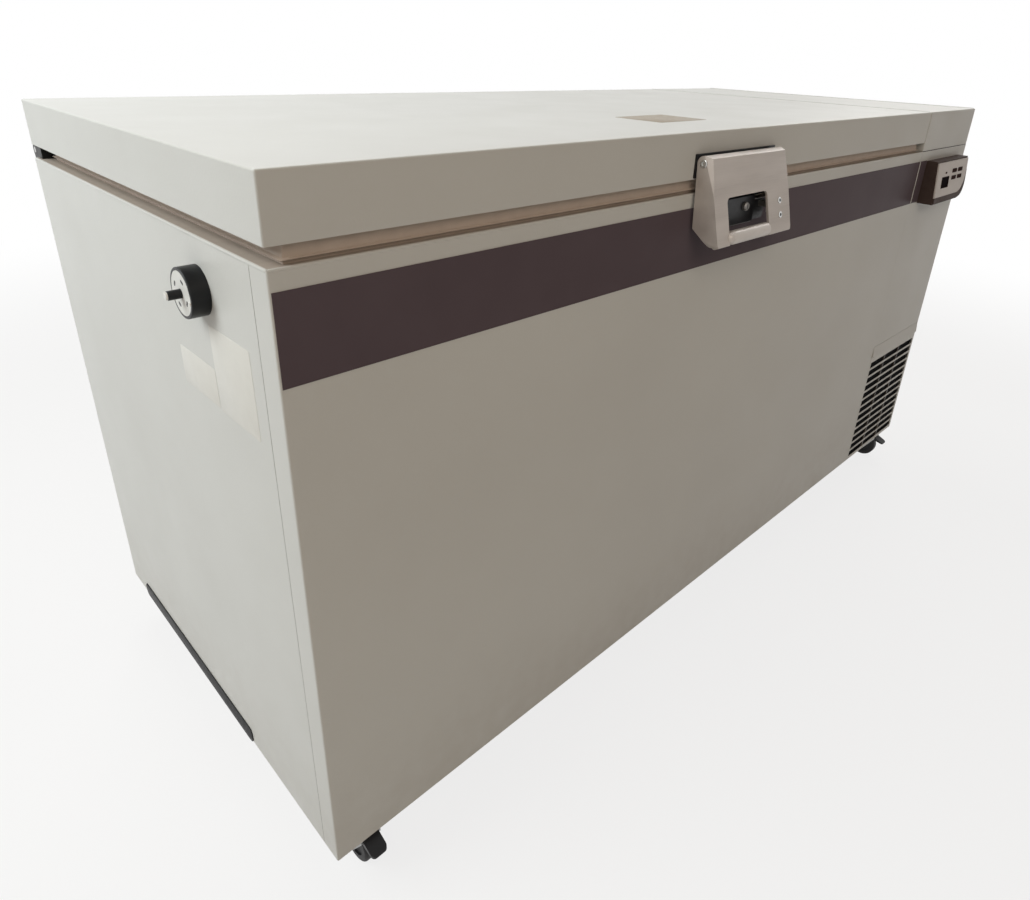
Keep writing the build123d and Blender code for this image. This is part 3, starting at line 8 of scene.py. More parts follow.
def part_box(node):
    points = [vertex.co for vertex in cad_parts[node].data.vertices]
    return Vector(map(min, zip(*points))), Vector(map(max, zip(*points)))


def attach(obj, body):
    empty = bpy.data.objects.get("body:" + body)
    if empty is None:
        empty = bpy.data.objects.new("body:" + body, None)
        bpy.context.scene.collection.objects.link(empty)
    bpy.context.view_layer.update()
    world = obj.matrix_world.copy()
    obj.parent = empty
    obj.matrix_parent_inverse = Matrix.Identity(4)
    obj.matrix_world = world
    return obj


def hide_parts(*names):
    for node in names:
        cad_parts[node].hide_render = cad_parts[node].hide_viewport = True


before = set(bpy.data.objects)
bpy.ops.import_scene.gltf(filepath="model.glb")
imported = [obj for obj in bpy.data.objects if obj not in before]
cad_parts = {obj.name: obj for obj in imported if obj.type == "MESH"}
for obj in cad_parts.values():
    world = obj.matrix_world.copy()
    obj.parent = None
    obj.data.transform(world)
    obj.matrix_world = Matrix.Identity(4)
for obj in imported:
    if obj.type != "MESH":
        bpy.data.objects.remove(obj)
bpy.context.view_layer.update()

# Studio: a pale floor that fades out to white, one large soft lamp high on the left like a window,
# weak lamps for the other sides, and the camera where the photographer stood, tipped a little.
WHITE = (1.0, 1.0, 1.0, 1.0)
FLOOR_GREY = (0.66, 0.65, 0.63, 1.0)
FLOOR_HALF = 40.0
FADE_FROM = 1.9
FADE_TO = 4.2
FLOOR_GLOW = 0.8
ROOM_LIGHT = (1.0, 0.84, 0.70, 1.0)
ROOM_LEVEL = 0.13
IMAGE_W = 1030
IMAGE_H = 900
FOCAL_PIXELS = 722.15
MIDDLE_X = 536.93
MIDDLE_Y = 375.77
EYE = Vector((-1.28996, -1.05894, 1.18962))
SIGHT = Vector((0.64921, 0.63771, -0.41454))
TIP = radians(2.33)


def seen_directly(tree):
    """1 for rays that show a surface as a background: straight, mirrored or through glass."""
    path = tree.nodes.new("ShaderNodeLightPath")
    total = path.outputs["Is Camera Ray"]
    for kind in ("Is Glossy Ray", "Is Transmission Ray"):
        widest = tree.nodes.new("ShaderNodeMath")
        widest.operation = "MAXIMUM"
        tree.links.new(total, widest.inputs[0])
        tree.links.new(path.outputs[kind], widest.inputs[1])
        total = widest.outputs["Value"]
    return total


def studio_world():
    """White where the background shows, and a soft even level of light everywhere else."""
    world = bpy.data.worlds.new("studio")
    world.use_nodes = True
    tree = world.node_tree
    level = tree.nodes["Background"]
    level.inputs["Color"].default_value = ROOM_LIGHT
    level.inputs["Strength"].default_value = ROOM_LEVEL
    backdrop = tree.nodes.new("ShaderNodeBackground")
    backdrop.inputs["Color"].default_value = WHITE
    choice = tree.nodes.new("ShaderNodeMixShader")
    tree.links.new(seen_directly(tree), choice.inputs["Fac"])
    tree.links.new(level.outputs["Background"], choice.inputs[1])
    tree.links.new(backdrop.outputs["Background"], choice.inputs[2])
    tree.links.new(choice.outputs["Shader"], tree.nodes["World Output"].inputs["Surface"])
    bpy.context.scene.world = world


def studio_floor():
    """A wide sheet of pale matt card that turns to plain white well away from the freezer."""
    bm = bmesh.new()
    bmesh.ops.create_grid(bm, x_segments=8, y_segments=8, size=FLOOR_HALF)
    mesh = bpy.data.meshes.new("floor")
    bm.to_mesh(mesh)
    bm.free()
    floor = bpy.data.objects.new("floor", mesh)
    bpy.context.scene.collection.objects.link(floor)
    card = bpy.data.materials.new("floor_card")
    card.use_nodes = True
    tree = card.node_tree
    shader = tree.nodes["Principled BSDF"]
    shader.inputs["Base Color"].default_value = FLOOR_GREY
    shader.inputs["Roughness"].default_value = 0.9
    shader.inputs["Specular IOR Level"].default_value = 0.1
    where = tree.nodes.new("ShaderNodeTexCoord")
    away = tree.nodes.new("ShaderNodeVectorMath")
    away.operation = "LENGTH"
    fade = tree.nodes.new("ShaderNodeMapRange")
    fade.interpolation_type = "SMOOTHSTEP"
    fade.inputs["From Min"].default_value = FADE_FROM
    fade.inputs["From Max"].default_value = FADE_TO
    fade.inputs["To Min"].default_value = FLOOR_GLOW
    shown = tree.nodes.new("ShaderNodeMath")
    shown.operation = "MULTIPLY"
    paper = tree.nodes.new("ShaderNodeEmission")
    paper.inputs["Color"].default_value = WHITE
    choice = tree.nodes.new("ShaderNodeMixShader")
    tree.links.new(where.outputs["Object"], away.inputs[0])
    tree.links.new(away.outputs["Value"], fade.inputs["Value"])
    tree.links.new(fade.outputs["Result"], shown.inputs[0])
    tree.links.new(seen_directly(tree), shown.inputs[1])
    tree.links.new(shown.outputs["Value"], choice.inputs["Fac"])
    tree.links.new(shader.outputs["BSDF"], choice.inputs[1])
    tree.links.new(paper.outputs["Emission"], choice.inputs[2])
    tree.links.new(choice.outputs["Shader"], tree.nodes["Material Output"].inputs["Surface"])
    mesh.materials.append(card)


def studio_lamp(name, place, target, width, height, power, colour):
    """A flat soft lamp turned towards a point of the freezer."""
    light = bpy.data.lights.new(name, "AREA")
    light.shape = "RECTANGLE"
    light.size = width
    light.size_y = height
    light.energy = power
    light.color = colour
    lamp = bpy.data.objects.new(name, light)
    lamp.location = place
    lamp.rotation_mode = "QUATERNION"
    lamp.rotation_quaternion = (Vector(target) - Vector(place)).to_track_quat("-Z", "Y")
    bpy.context.scene.collection.objects.link(lamp)


def photograph_camera():
    """The camera at the photographer's eye, with the picture's own middle."""
    lens = bpy.data.cameras.new("camera")
    lens.sensor_width = 36.0
    lens.lens = FOCAL_PIXELS * lens.sensor_width / IMAGE_W
    lens.shift_x = (IMAGE_W / 2 - MIDDLE_X) / IMAGE_W
    lens.shift_y = (MIDDLE_Y - IMAGE_H / 2) / IMAGE_W
    lens.clip_end = 200.0
    camera = bpy.data.objects.new("camera", lens)
    camera.location = EYE
    camera.rotation_mode = "QUATERNION"
    camera.rotation_quaternion = SIGHT.to_track_quat("-Z", "Y") @ Quaternion((0, 0, 1), TIP)
    bpy.context.scene.collection.objects.link(camera)
    bpy.context.scene.camera = camera


studio_world()
studio_floor()
studio_lamp(
    "window_lamp", place=(-2.9, 0.8, 2.8), target=(-0.4, 0.1, 0.8),
    width=1.9, height=1.9, power=74.0, colour=(0.94, 0.99, 1.0),
)
studio_lamp(
    "front_lamp", place=(-2.0, -3.0, 3.2), target=(-0.3, -0.4, 0.8),
    width=3.0, height=2.4, power=42.0, colour=(1.0, 0.86, 0.72),
)
studio_lamp(
    "right_lamp", place=(3.4, 0.3, 3.0), target=(1.0, 0.0, 0.6),
    width=1.6, height=1.6, power=36.0, colour=(1.0, 0.98, 0.95),
)
studio_lamp(
    "rear_lamp", place=(0.2, 3.3, 4.6), target=(0.1, 0.4, 0.5),
    width=2.2, height=2.2, power=76.0, colour=(0.97, 1.0, 1.0),
)
photograph_camera()
bpy.context.scene.view_settings.view_transform = "Standard"

# Cabinet skin: folded sheet steel with a satin powder coat in warm light grey, screwed and riveted
# from inside, with a fine orange-peel surface and a little dust near the floor.
PAINT_DARK = (205, 205, 201)
PAINT_LIGHT = (215, 216, 212)
PAINT_DUST = (168, 158, 144)
DUST_TOP = 0.30
DUST_BOTTOM = 0.09
DUST_SHARE = 0.22
PEEL_GRAINS = 340.0
PEEL_HEIGHT = 0.00018
SHADE_FADE = 0.0006
BEND_R = 0.0007
WELD_WITHIN = 0.00002
FLAT_WITHIN = radians(0.5)
SHARP_FROM = radians(40)
SKIN_NODES = (
    "front_panel", "left_side_panel", "right_side_panel", "rear_panel", "bay_partition",
    "bay_front_panel", "bay_top_cover", "base_pan", "lid_shell",
)


def srgb(red, green, blue):
    """A screen colour, 0 to 255, as the linear value that a shader takes."""
    shares = (value / 255 for value in (red, green, blue))
    return tuple(s / 12.92 if s <= 0.04045 else ((s + 0.055) / 1.055) ** 2.4 for s in shares) + (1.0,)


def start_finish(name, metallic=0.0):
    """A new material with its node tree and its shader."""
    made = bpy.data.materials.new(name)
    made.use_nodes = True
    shader = made.node_tree.nodes["Principled BSDF"]
    shader.inputs["Metallic"].default_value = metallic
    return made, made.node_tree, shader


def place_in_metres(tree):
    """The point on the piece in the freezer's own frame."""
    return tree.nodes.new("ShaderNodeTexCoord").outputs["Object"]


def grain(tree, per_metre, stretch=(1.0, 1.0, 1.0), detail=3.0):
    """Noise through the piece: grains per metre, drawn out along an axis by its stretch."""
    lay = tree.nodes.new("ShaderNodeMapping")
    lay.inputs["Scale"].default_value = [per_metre / share for share in stretch]
    noise = tree.nodes.new("ShaderNodeTexNoise")
    noise.inputs["Scale"].default_value = 1.0
    noise.inputs["Detail"].default_value = detail
    tree.links.new(place_in_metres(tree), lay.inputs["Vector"])
    tree.links.new(lay.outputs["Vector"], noise.inputs["Vector"])
    return noise.outputs["Fac"]


def spread(tree, value, low, high, start=0.3, end=0.7):
    """A value between start and end drawn out over low to high."""
    ramp = tree.nodes.new("ShaderNodeMapRange")
    ramp.inputs["From Min"].default_value = start
    ramp.inputs["From Max"].default_value = end
    ramp.inputs["To Min"].default_value = low
    ramp.inputs["To Max"].default_value = high
    tree.links.new(value, ramp.inputs["Value"])
    return ramp.outputs["Result"]


def between(tree, value, one, other):
    """A colour between two, each a plain colour or another node's output."""
    blend = tree.nodes.new("ShaderNodeMix")
    blend.data_type = "RGBA"
    tree.links.new(value, blend.inputs[0])
    for colour, socket in ((one, blend.inputs[6]), (other, blend.inputs[7])):
        if isinstance(colour, tuple):
            socket.default_value = colour
        else:
            tree.links.new(colour, socket)
    return blend.outputs[2]


def times(tree, one, other):
    """The product of two values."""
    product = tree.nodes.new("ShaderNodeMath")
    product.operation = "MULTIPLY"
    tree.links.new(one, product.inputs[0])
    tree.links.new(other, product.inputs[1])
    return product.outputs["Value"]


def raise_surface(tree, shader, value, height):
    """Relief on the surface, with its height in metres."""
    relief = tree.nodes.new("ShaderNodeBump")
    relief.inputs["Strength"].default_value = 1.0
    relief.inputs["Distance"].default_value = height
    tree.links.new(value, relief.inputs["Height"])
    tree.links.new(relief.outputs["Normal"], shader.inputs["Normal"])


def how_far_along(tree, axis):
    """How far a point of the piece lies along one axis of the freezer's frame."""
    split = tree.nodes.new("ShaderNodeSeparateXYZ")
    tree.links.new(place_in_metres(tree), split.inputs["Vector"])
    return split.outputs[axis]


def powder_coat(name, dark, light, shade_from=None, shade_colour=None):
    """Satin powder coat: clouded, with orange peel, dust near the floor, and painted shade in a dark colour
    on what lies deeper than a given depth.
    """
    made, tree, shader = start_finish(name)
    coat = between(tree, grain(tree, 3.0), srgb(*dark), srgb(*light))
    # Painted shade: what lies deeper in the piece than the given depth turns to the dark shade colour.
    if shade_colour:
        shaded_part = spread(tree, how_far_along(tree, "Y"), 0.0, 1.0, shade_from, shade_from + SHADE_FADE)
        coat = between(tree, shaded_part, coat, srgb(*shade_colour))
    low_down = spread(tree, how_far_along(tree, "Z"), 0.0, DUST_SHARE, DUST_TOP, DUST_BOTTOM)
    dust = times(tree, low_down, spread(tree, grain(tree, 30.0, detail=8.0), 0.3, 1.0))
    tree.links.new(between(tree, dust, coat, srgb(*PAINT_DUST)), shader.inputs["Base Color"])
    tree.links.new(spread(tree, grain(tree, 9.0), 0.32, 0.42), shader.inputs["Roughness"])
    raise_surface(tree, shader, grain(tree, PEEL_GRAINS, detail=1.0), PEEL_HEIGHT)
    shader.inputs["Specular IOR Level"].default_value = 0.16
    return made


def dress(finish, *names):
    """Give CAD nodes their finish."""
    for name in names:
        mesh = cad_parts[name].data
        mesh.materials.clear()
        mesh.materials.append(finish)


def soften(width, *names):
    """Round the sharp edges of CAD nodes a little, as bending or moulding leaves them."""
    for name in names:
        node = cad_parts[name]
        weld = node.modifiers.new("weld", "WELD")
        weld.merge_threshold = WELD_WITHIN
        flat = node.modifiers.new("flat", "DECIMATE")
        flat.decimate_type = "DISSOLVE"
        flat.angle_limit = FLAT_WITHIN
        edge = node.modifiers.new("edge", "BEVEL")
        edge.width = width
        edge.segments = 3
        edge.limit_method = "ANGLE"
        edge.angle_limit = SHARP_FROM
        edge.harden_normals = True


cabinet_paint = powder_coat("cabinet_paint", PAINT_DARK, PAINT_LIGHT)
dress(cabinet_paint, *SKIN_NODES)
soften(BEND_R, "lid_shell", "bay_top_cover")

# Panel seams and hems: dark beads in the seam behind the folded front corner and under the bay's top
# cover that paint the shade of these gaps, a pale bead in the joint of the two front panels, and the rolled
# hems of the rim, lid and top cover.
SEAM_SHADE_COLOUR = (58, 53, 49)
SEAM_R = 0.0008
SEAM_DEEP = 0.0009
SEAM_MARGIN = 0.002
COVER_SEAM_DEEP = 0.00036
HEM_R = 0.0022
HEM_PROUD = 0.0006
HEM_MARGIN = 0.006
JOINT_R = 0.0022
JOINT_DEEP = 0.00044
EDGE_R = 0.0018
EDGE_DEEP = 0.00036
EDGE_MARGIN = 0.004
CREASE = radians(35)


def moulded(name, colour, roughness, grains=380.0, relief=0.00003, shift=8, gloss=0.25):
    """Moulded plastic or rubber: an even colour with a slight cloud and a fine matt grain."""
    made, tree, shader = start_finish(name)
    dark = tuple(max(0, value - shift) for value in colour)
    light = tuple(min(255, value + shift) for value in colour)
    tree.links.new(between(tree, grain(tree, 45.0), srgb(*dark), srgb(*light)), shader.inputs["Base Color"])
    rough = spread(tree, grain(tree, 120.0), roughness - 0.06, roughness + 0.06)
    tree.links.new(rough, shader.inputs["Roughness"])
    raise_surface(tree, shader, grain(tree, grains, detail=2.0), relief)
    shader.inputs["Specular IOR Level"].default_value = gloss
    return made


def add_turned(bm, at, outward, rings, sides=24):
    """A turned form on an axis: rings of height and radius, where a radius may follow the angle."""
    turn = Vector(outward).to_track_quat("Z", "Y").to_matrix()
    loops = []
    for height, radius in rings:
        loop = []
        for step in range(sides):
            angle = tau * step / sides
            reach = radius(angle) if callable(radius) else radius
            point = turn @ Vector((reach * cos(angle), reach * sin(angle), height))
            loop.append(bm.verts.new(Vector(at) + point))
        loops.append(loop)
    for low, high in zip(loops, loops[1:]):
        for step in range(sides):
            after = (step + 1) % sides
            bm.faces.new((low[step], low[after], high[after], high[step]))
    bm.faces.new(list(reversed(loops[0])))
    bm.faces.new(loops[-1])


def piece(name, bm, finish, body):
    """Turn finished mesh work into a piece that rides on a body."""
    bmesh.ops.recalc_face_normals(bm, faces=bm.faces)
    mesh = bpy.data.meshes.new(name)
    bm.to_mesh(mesh)
    bm.free()
    mesh.polygons.foreach_set("use_smooth", [True] * len(mesh.polygons))
    mesh.set_sharp_from_angle(angle=CREASE)
    mesh.materials.append(finish)
    made = bpy.data.objects.new(name, mesh)
    bpy.context.scene.collection.objects.link(made)
    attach(made, body)
    return made


def add_bead(bm, start, end, radius):
    """A straight bead with rounded ends."""
    run = Vector(end) - Vector(start)
    length = run.length
    rings = (
        (0.0, radius * 0.5), (radius * 0.4, radius * 0.9), (radius, radius),
        (length - radius, radius), (length - radius * 0.4, radius * 0.9), (length, radius * 0.5),
    )
    add_turned(bm, start, run, rings, sides=10)


front_low, front_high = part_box("front_panel")
left_low, left_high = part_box("left_side_panel")
bay_low, bay_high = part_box("bay_front_panel")
cover_low, cover_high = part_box("bay_top_cover")
band_low, band_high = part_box("front_band")
lid_low, lid_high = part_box("lid_shell")

seam_at = (left_low.x + SEAM_DEEP, (front_high.y + left_low.y) / 2)
cover_seam = (front_low.y + COVER_SEAM_DEEP, bay_high.z + SEAM_R)
# Painted shade: the dark beads stand in for the shade inside the two seams.
seam_shade = moulded("seam_shade", SEAM_SHADE_COLOUR, roughness=0.6)
bm = bmesh.new()
add_bead(bm, (*seam_at, left_low.z + SEAM_MARGIN), (*seam_at, left_high.z - HEM_MARGIN), SEAM_R)
add_bead(bm, (cover_low.x + SEAM_MARGIN, *cover_seam), (cover_high.x - SEAM_MARGIN, *cover_seam), SEAM_R)
piece("seam_shade_beads", bm, seam_shade, "cabinet")

hem_left = left_low.x + HEM_R - HEM_PROUD
hem_front = front_low.y + HEM_R - HEM_PROUD
hem_z = front_high.z - HEM_R + HEM_PROUD
joint_x = (front_high.x + bay_low.x) / 2
joint_beside_band = (joint_x, front_low.y + JOINT_DEEP)
joint_below_band = (joint_x, front_low.y + SEAM_R)
cover_edge = cover_high.x - EDGE_R
lid_edge = lid_high.x - EDGE_R
edge_z = lid_high.z - EDGE_DEEP
edge_front = lid_low.y + EDGE_MARGIN
edge_rear = lid_high.y - EDGE_MARGIN
bm = bmesh.new()
add_bead(bm, (hem_left, hem_front, hem_z), (front_high.x - HEM_R, hem_front, hem_z), HEM_R)
add_bead(bm, (hem_left, hem_front, hem_z), (hem_left, left_high.y - HEM_R, hem_z), HEM_R)
add_bead(bm, (*joint_beside_band, band_low.z), (*joint_beside_band, band_high.z), JOINT_R)
add_bead(bm, (*joint_below_band, bay_low.z + SEAM_MARGIN), (*joint_below_band, band_low.z), SEAM_R)
add_bead(bm, (cover_edge, edge_front, edge_z), (cover_edge, edge_rear, edge_z), EDGE_R)
piece("cabinet_hems", bm, cabinet_paint, "cabinet")
bm = bmesh.new()
add_bead(bm, (lid_edge, edge_front, edge_z), (lid_edge, edge_rear, edge_z), EDGE_R)
piece("lid_hem", bm, cabinet_paint, "lid")

# Dark band: a thin printed film in purple grey, stuck along the upper front of both panels,
# even and satin, with the slight waviness that a film keeps after it is rubbed down.
BAND_DARK = (92, 81, 87)
BAND_LIGHT = (100, 89, 95)


def printed_film():
    """Satin film, a little clouded and wavy."""
    made, tree, shader = start_finish("band_film")
    cloud = grain(tree, 12.0)
    tree.links.new(between(tree, cloud, srgb(*BAND_DARK), srgb(*BAND_LIGHT)), shader.inputs["Base Color"])
    tree.links.new(spread(tree, grain(tree, 40.0), 0.28, 0.34), shader.inputs["Roughness"])
    raise_surface(tree, shader, grain(tree, 110.0, detail=1.0), 0.00006)
    shader.inputs["Specular IOR Level"].default_value = 0.02
    return made


dress(printed_film(), "front_band")

# Plain films: thin plates stuck flat on the skin, one on the lid and two on the left side, satin and
# a little clouded, with softened corners.
FILM_T = 0.0003
FILM_SOFT = 0.0001
FILM_R = 0.003
TAUPE = (152, 140, 122)
OFF_WHITE = (220, 219, 213)
LID_FILM_IN = 0.840
LID_FILM_BACK = 0.1705
LID_FILM_W = 0.138
LID_FILM_D = 0.103
UPRIGHT_FILM = {"back": 0.0805, "down": 0.161, "width": 0.106, "height": 0.112}
LEVEL_FILM = {"back": 0.189, "down": 0.189, "width": 0.108, "height": 0.052}


def rounded(width, height, radius, steps=5):
    """A rectangle with round corners about the origin, anticlockwise."""
    points = []
    for quarter, (sx, sy) in enumerate(((1, 1), (-1, 1), (-1, -1), (1, -1))):
        for step in range(steps + 1):
            angle = (quarter + step / steps) * pi / 2
            x = sx * (width / 2 - radius) + radius * cos(angle)
            y = sy * (height / 2 - radius) + radius * sin(angle)
            points.append((x, y))
    return points


def add_slab(bm, at, across, up, width, height, radius, thickness, soft):
    """A flat piece with round corners and softened upper edges, standing on a face."""
    across, up = Vector(across).normalized(), Vector(up).normalized()
    outward = across.cross(up)
    layers = (
        (rounded(width, height, radius), -soft),
        (rounded(width, height, radius), thickness - soft),
        (rounded(width - 0.6 * soft, height - 0.6 * soft, radius - 0.3 * soft), thickness - 0.3 * soft),
        (rounded(width - 2 * soft, height - 2 * soft, radius - soft), thickness),
    )
    loops = []
    for outline, lift in layers:
        loops.append([bm.verts.new(Vector(at) + across * x + up * y + outward * lift) for x, y in outline])
    count = len(loops[0])
    for low, high in zip(loops, loops[1:]):
        for step in range(count):
            after = (step + 1) % count
            bm.faces.new((low[step], low[after], high[after], high[step]))
    bm.faces.new(list(reversed(loops[0])))
    bm.faces.new(loops[-1])


taupe_film = moulded("taupe_film", TAUPE, roughness=0.45, shift=4)
white_film = moulded("white_film", OFF_WHITE, roughness=0.4, shift=4)
bm = bmesh.new()
film_at = (lid_low.x + LID_FILM_IN, lid_low.y + LID_FILM_BACK, lid_high.z)
add_slab(bm, film_at, (1, 0, 0), (0, 1, 0), LID_FILM_W, LID_FILM_D, FILM_R, FILM_T, FILM_SOFT)
piece("lid_film", bm, taupe_film, "lid")
bm = bmesh.new()
for film in (UPRIGHT_FILM, LEVEL_FILM):
    film_at = (left_low.x, left_low.y + film["back"], left_high.z - film["down"])
    add_slab(bm, film_at, (0, -1, 0), (0, 0, 1), film["width"], film["height"], FILM_R, FILM_T, FILM_SOFT)
piece("side_films", bm, white_film, "cabinet")

# Tub and lid filling: a stainless liner with level brushing, copper turns bound round it, rigid foam
# in the walls and the lid, a moulded frame that closes the foam at the chamber mouth, and the moulded
# liner that is clipped under the lid.
FOAM_DARK = (214, 196, 150)
FOAM_LIGHT = (232, 217, 178)
ALL_LEVEL = (40.0, 40.0, 1.0)
ROUND_TUB = (20.0, 20.0, 1.0)
STREAKS_WIDER = 60
STREAKS_SHORTER = 12
LINE_RELIEF = 0.00001


def brushed(name, dark, light, smooth, rough, stretch, per_metre=900.0, turned=0.5, metallic=1.0):
    """Brushed metal: fine lines along the stretched axes that break up colour and gloss."""
    made, tree, shader = start_finish(name, metallic=metallic)
    lines = grain(tree, per_metre, stretch=stretch, detail=4.0)
    streak_stretch = [max(1.0, share / STREAKS_SHORTER) for share in stretch]
    streaks = spread(tree, grain(tree, per_metre / STREAKS_WIDER, stretch=streak_stretch), 0.0, 1.0)
    fine = between(tree, lines, srgb(*dark), srgb(*light))
    tree.links.new(between(tree, streaks, fine, srgb(*light)), shader.inputs["Base Color"])
    tree.links.new(spread(tree, lines, smooth, rough), shader.inputs["Roughness"])
    shader.inputs["Anisotropic"].default_value = turned
    raise_surface(tree, shader, lines, LINE_RELIEF)
    return made


def foamed(name):
    """Rigid foam: a pale yellow, cellular, matt body."""
    made, tree, shader = start_finish(name)
    cells = grain(tree, 420.0, detail=5.0)
    tree.links.new(between(tree, cells, srgb(*FOAM_DARK), srgb(*FOAM_LIGHT)), shader.inputs["Base Color"])
    shader.inputs["Roughness"].default_value = 0.95
    raise_surface(tree, shader, cells, 0.0006)
    return made


liner_steel = brushed(
    "liner_steel", dark=(168, 168, 166), light=(196, 196, 194), smooth=0.26, rough=0.42, stretch=ALL_LEVEL,
)
copper = brushed(
    "copper_turns", dark=(176, 110, 78), light=(204, 138, 102), smooth=0.3, rough=0.5,
    stretch=ROUND_TUB, per_metre=500.0, turned=0.2,
)
frame_plastic = moulded("frame_plastic", (170, 160, 150), roughness=0.5)
liner_plastic = moulded("liner_plastic", (206, 203, 196), roughness=0.45, shift=4)
dress(liner_steel, "inner_liner")
dress(copper, "evaporator_coil")
dress(foamed("insulation"), "insulation_foam", "lid_foam")
dress(frame_plastic, "breaker_frame")
dress(liner_plastic, "lid_liner")

# Lid gasket: a soft grey seal pressed into the lid's edge and mitred at its corners: a flat upper
# body, a thin lip that reaches out, and a narrow foot in its shade.
GASKET_COLOUR = (192, 178, 166)
GASKET_WIDTH = 0.034
GASKET_FACE = (
    (0.0052, 0.0), (0.0050, 0.13), (0.0036, 0.19), (0.0008, 0.22), (0.0, 0.25), (0.0006, 0.28),
    (0.0040, 0.33), (0.0050, 0.40), (0.0056, 0.60), (0.0062, 0.80), (0.0064, 1.0),
)


def add_frame_run(bm, low, high, profile):
    """A closed profile of inset and height carried round a rectangle with mitred corners."""
    loops = []
    for inset, height in profile:
        left, right = low.x + inset, high.x - inset
        front, rear = low.y + inset, high.y - inset
        corners = ((left, front), (right, front), (right, rear), (left, rear))
        loops.append([bm.verts.new((x, y, height)) for x, y in corners])
    for one, other in zip(loops, loops[1:] + loops[:1]):
        for corner in range(4):
            after = (corner + 1) % 4
            bm.faces.new((one[corner], one[after], other[after], other[corner]))


gasket_low, gasket_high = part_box("lid_gasket")
gasket_rise = gasket_high.z - gasket_low.z
outer_face = [(inset, gasket_low.z + gasket_rise * share) for inset, share in GASKET_FACE]
profile = outer_face + [(GASKET_WIDTH - inset, height) for inset, height in reversed(outer_face)]
bm = bmesh.new()
add_frame_run(bm, gasket_low, gasket_high, profile)
gasket_rubber = moulded("gasket_rubber", GASKET_COLOUR, roughness=0.62)
bellows = piece("gasket_bellows", bm, gasket_rubber, "lid")
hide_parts("lid_gasket")

# Edge guard: a black rubber strip with rounded ends, pressed over the lower left edge of the side
# panel, with a short foot turned in under the base pan.
GUARD_H = 0.030
GUARD_R = 0.009
GUARD_SOFT = 0.0008
GUARD_FOOT = 0.011
GUARD_FOOT_SOFT = 0.00072
black_rubber = moulded("black_rubber", (26, 26, 27), roughness=0.5)
guard_low, guard_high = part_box("edge_guard")
guard_t = left_low.x - guard_low.x
guard_y = (guard_low.y + guard_high.y) / 2
guard_long = guard_high.y - guard_low.y
bm = bmesh.new()
guard_at = (left_low.x, guard_y, guard_low.z + GUARD_H / 2)
add_slab(bm, guard_at, (0, -1, 0), (0, 0, 1), guard_long, GUARD_H, GUARD_R, guard_t, GUARD_SOFT)
foot_at = (guard_low.x + GUARD_FOOT / 2, guard_y, guard_low.z + guard_t)
foot_long = guard_long - 2 * GUARD_R
add_slab(bm, foot_at, (1, 0, 0), (0, -1, 0), GUARD_FOOT, foot_long, GUARD_SOFT, guard_t, GUARD_FOOT_SOFT)
guard = piece("guard_strip", bm, black_rubber, "cabinet")
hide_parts("edge_guard")

# Hinges: black coated steel brackets on the cabinet and leaves on the lid, with plated pins between
# them, each plate held by dome-headed screws.
HINGE_W = 0.060
HINGE_PLATE_T = 0.006
BRACKET_SCREW_X = 0.017
BRACKET_SCREWS_UP = (0.014, 0.036)
LEAF_SCREW_X = 0.016
LEAF_SCREWS_DOWN = (0.012, 0.032)
HINGE_SCREW_R = 0.0048
HINGE_SCREW_H = 0.0026
RECESS_REACH = 0.5
RECESS_FLOOR = 0.8
RECESS_WAIST = 0.36
RECESS_HALF = radians(10)
EVEN = (1.0, 1.0, 1.0)
black_coat = moulded("black_coat", (24, 24, 25), roughness=0.42, grains=700.0, relief=0.00004, shift=5)
plated_steel = brushed(
    "plated_steel", dark=(176, 176, 174), light=(198, 198, 195), smooth=0.2, rough=0.28,
    stretch=EVEN, per_metre=1600.0, turned=0.1,
)
screw_steel = brushed(
    "screw_steel", dark=(150, 150, 148), light=(190, 190, 187), smooth=0.25, rough=0.4,
    stretch=EVEN, per_metre=600.0, turned=0.0,
)
dress(black_coat, "hinge_brackets", "hinge_leaves")
dress(plated_steel, "hinge_pins")


def cross_recess(reach):
    """The outline of a cross-head recess, by angle."""
    def radius(angle):
        off_axis = abs((angle + pi / 4) % (pi / 2) - pi / 4)
        return reach if off_axis < RECESS_HALF else reach * RECESS_WAIST
    return radius


def add_pan_screw(bm, at, outward, radius, height):
    """A dome-headed screw with a cross recess."""
    recess = cross_recess(radius * RECESS_REACH)
    floor_recess = cross_recess(radius * RECESS_REACH * RECESS_FLOOR)
    rings = (
        (-height * 0.3, radius * 0.98), (0.0, radius), (height * 0.45, radius * 0.97),
        (height * 0.8, radius * 0.84), (height, radius * 0.62), (height, recess),
        (height * 0.35, floor_recess),
    )
    add_turned(bm, at, outward, rings, sides=32)


bracket_low, bracket_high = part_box("hinge_brackets")
leaf_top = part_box("hinge_leaves")[1].z
rear_low, rear_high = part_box("rear_panel")
plate_y = rear_high.y + HINGE_PLATE_T
hinge_middles = [
    bracket_low.x + HINGE_W / 2,
    (bracket_low.x + bracket_high.x) / 2,
    bracket_high.x - HINGE_W / 2,
]
bracket_screws = bmesh.new()
leaf_screws = bmesh.new()
for middle in hinge_middles:
    for side in (-1, 1):
        for up in BRACKET_SCREWS_UP:
            at = (middle + side * BRACKET_SCREW_X, plate_y, bracket_low.z + up)
            add_pan_screw(bracket_screws, at, (0, 1, 0), HINGE_SCREW_R, HINGE_SCREW_H)
        for down in LEAF_SCREWS_DOWN:
            at = (middle + side * LEAF_SCREW_X, plate_y, leaf_top - down)
            add_pan_screw(leaf_screws, at, (0, 1, 0), HINGE_SCREW_R, HINGE_SCREW_H)
piece("hinge_bracket_screws", bracket_screws, screw_steel, "cabinet")
piece("hinge_leaf_screws", leaf_screws, screw_steel, "lid")

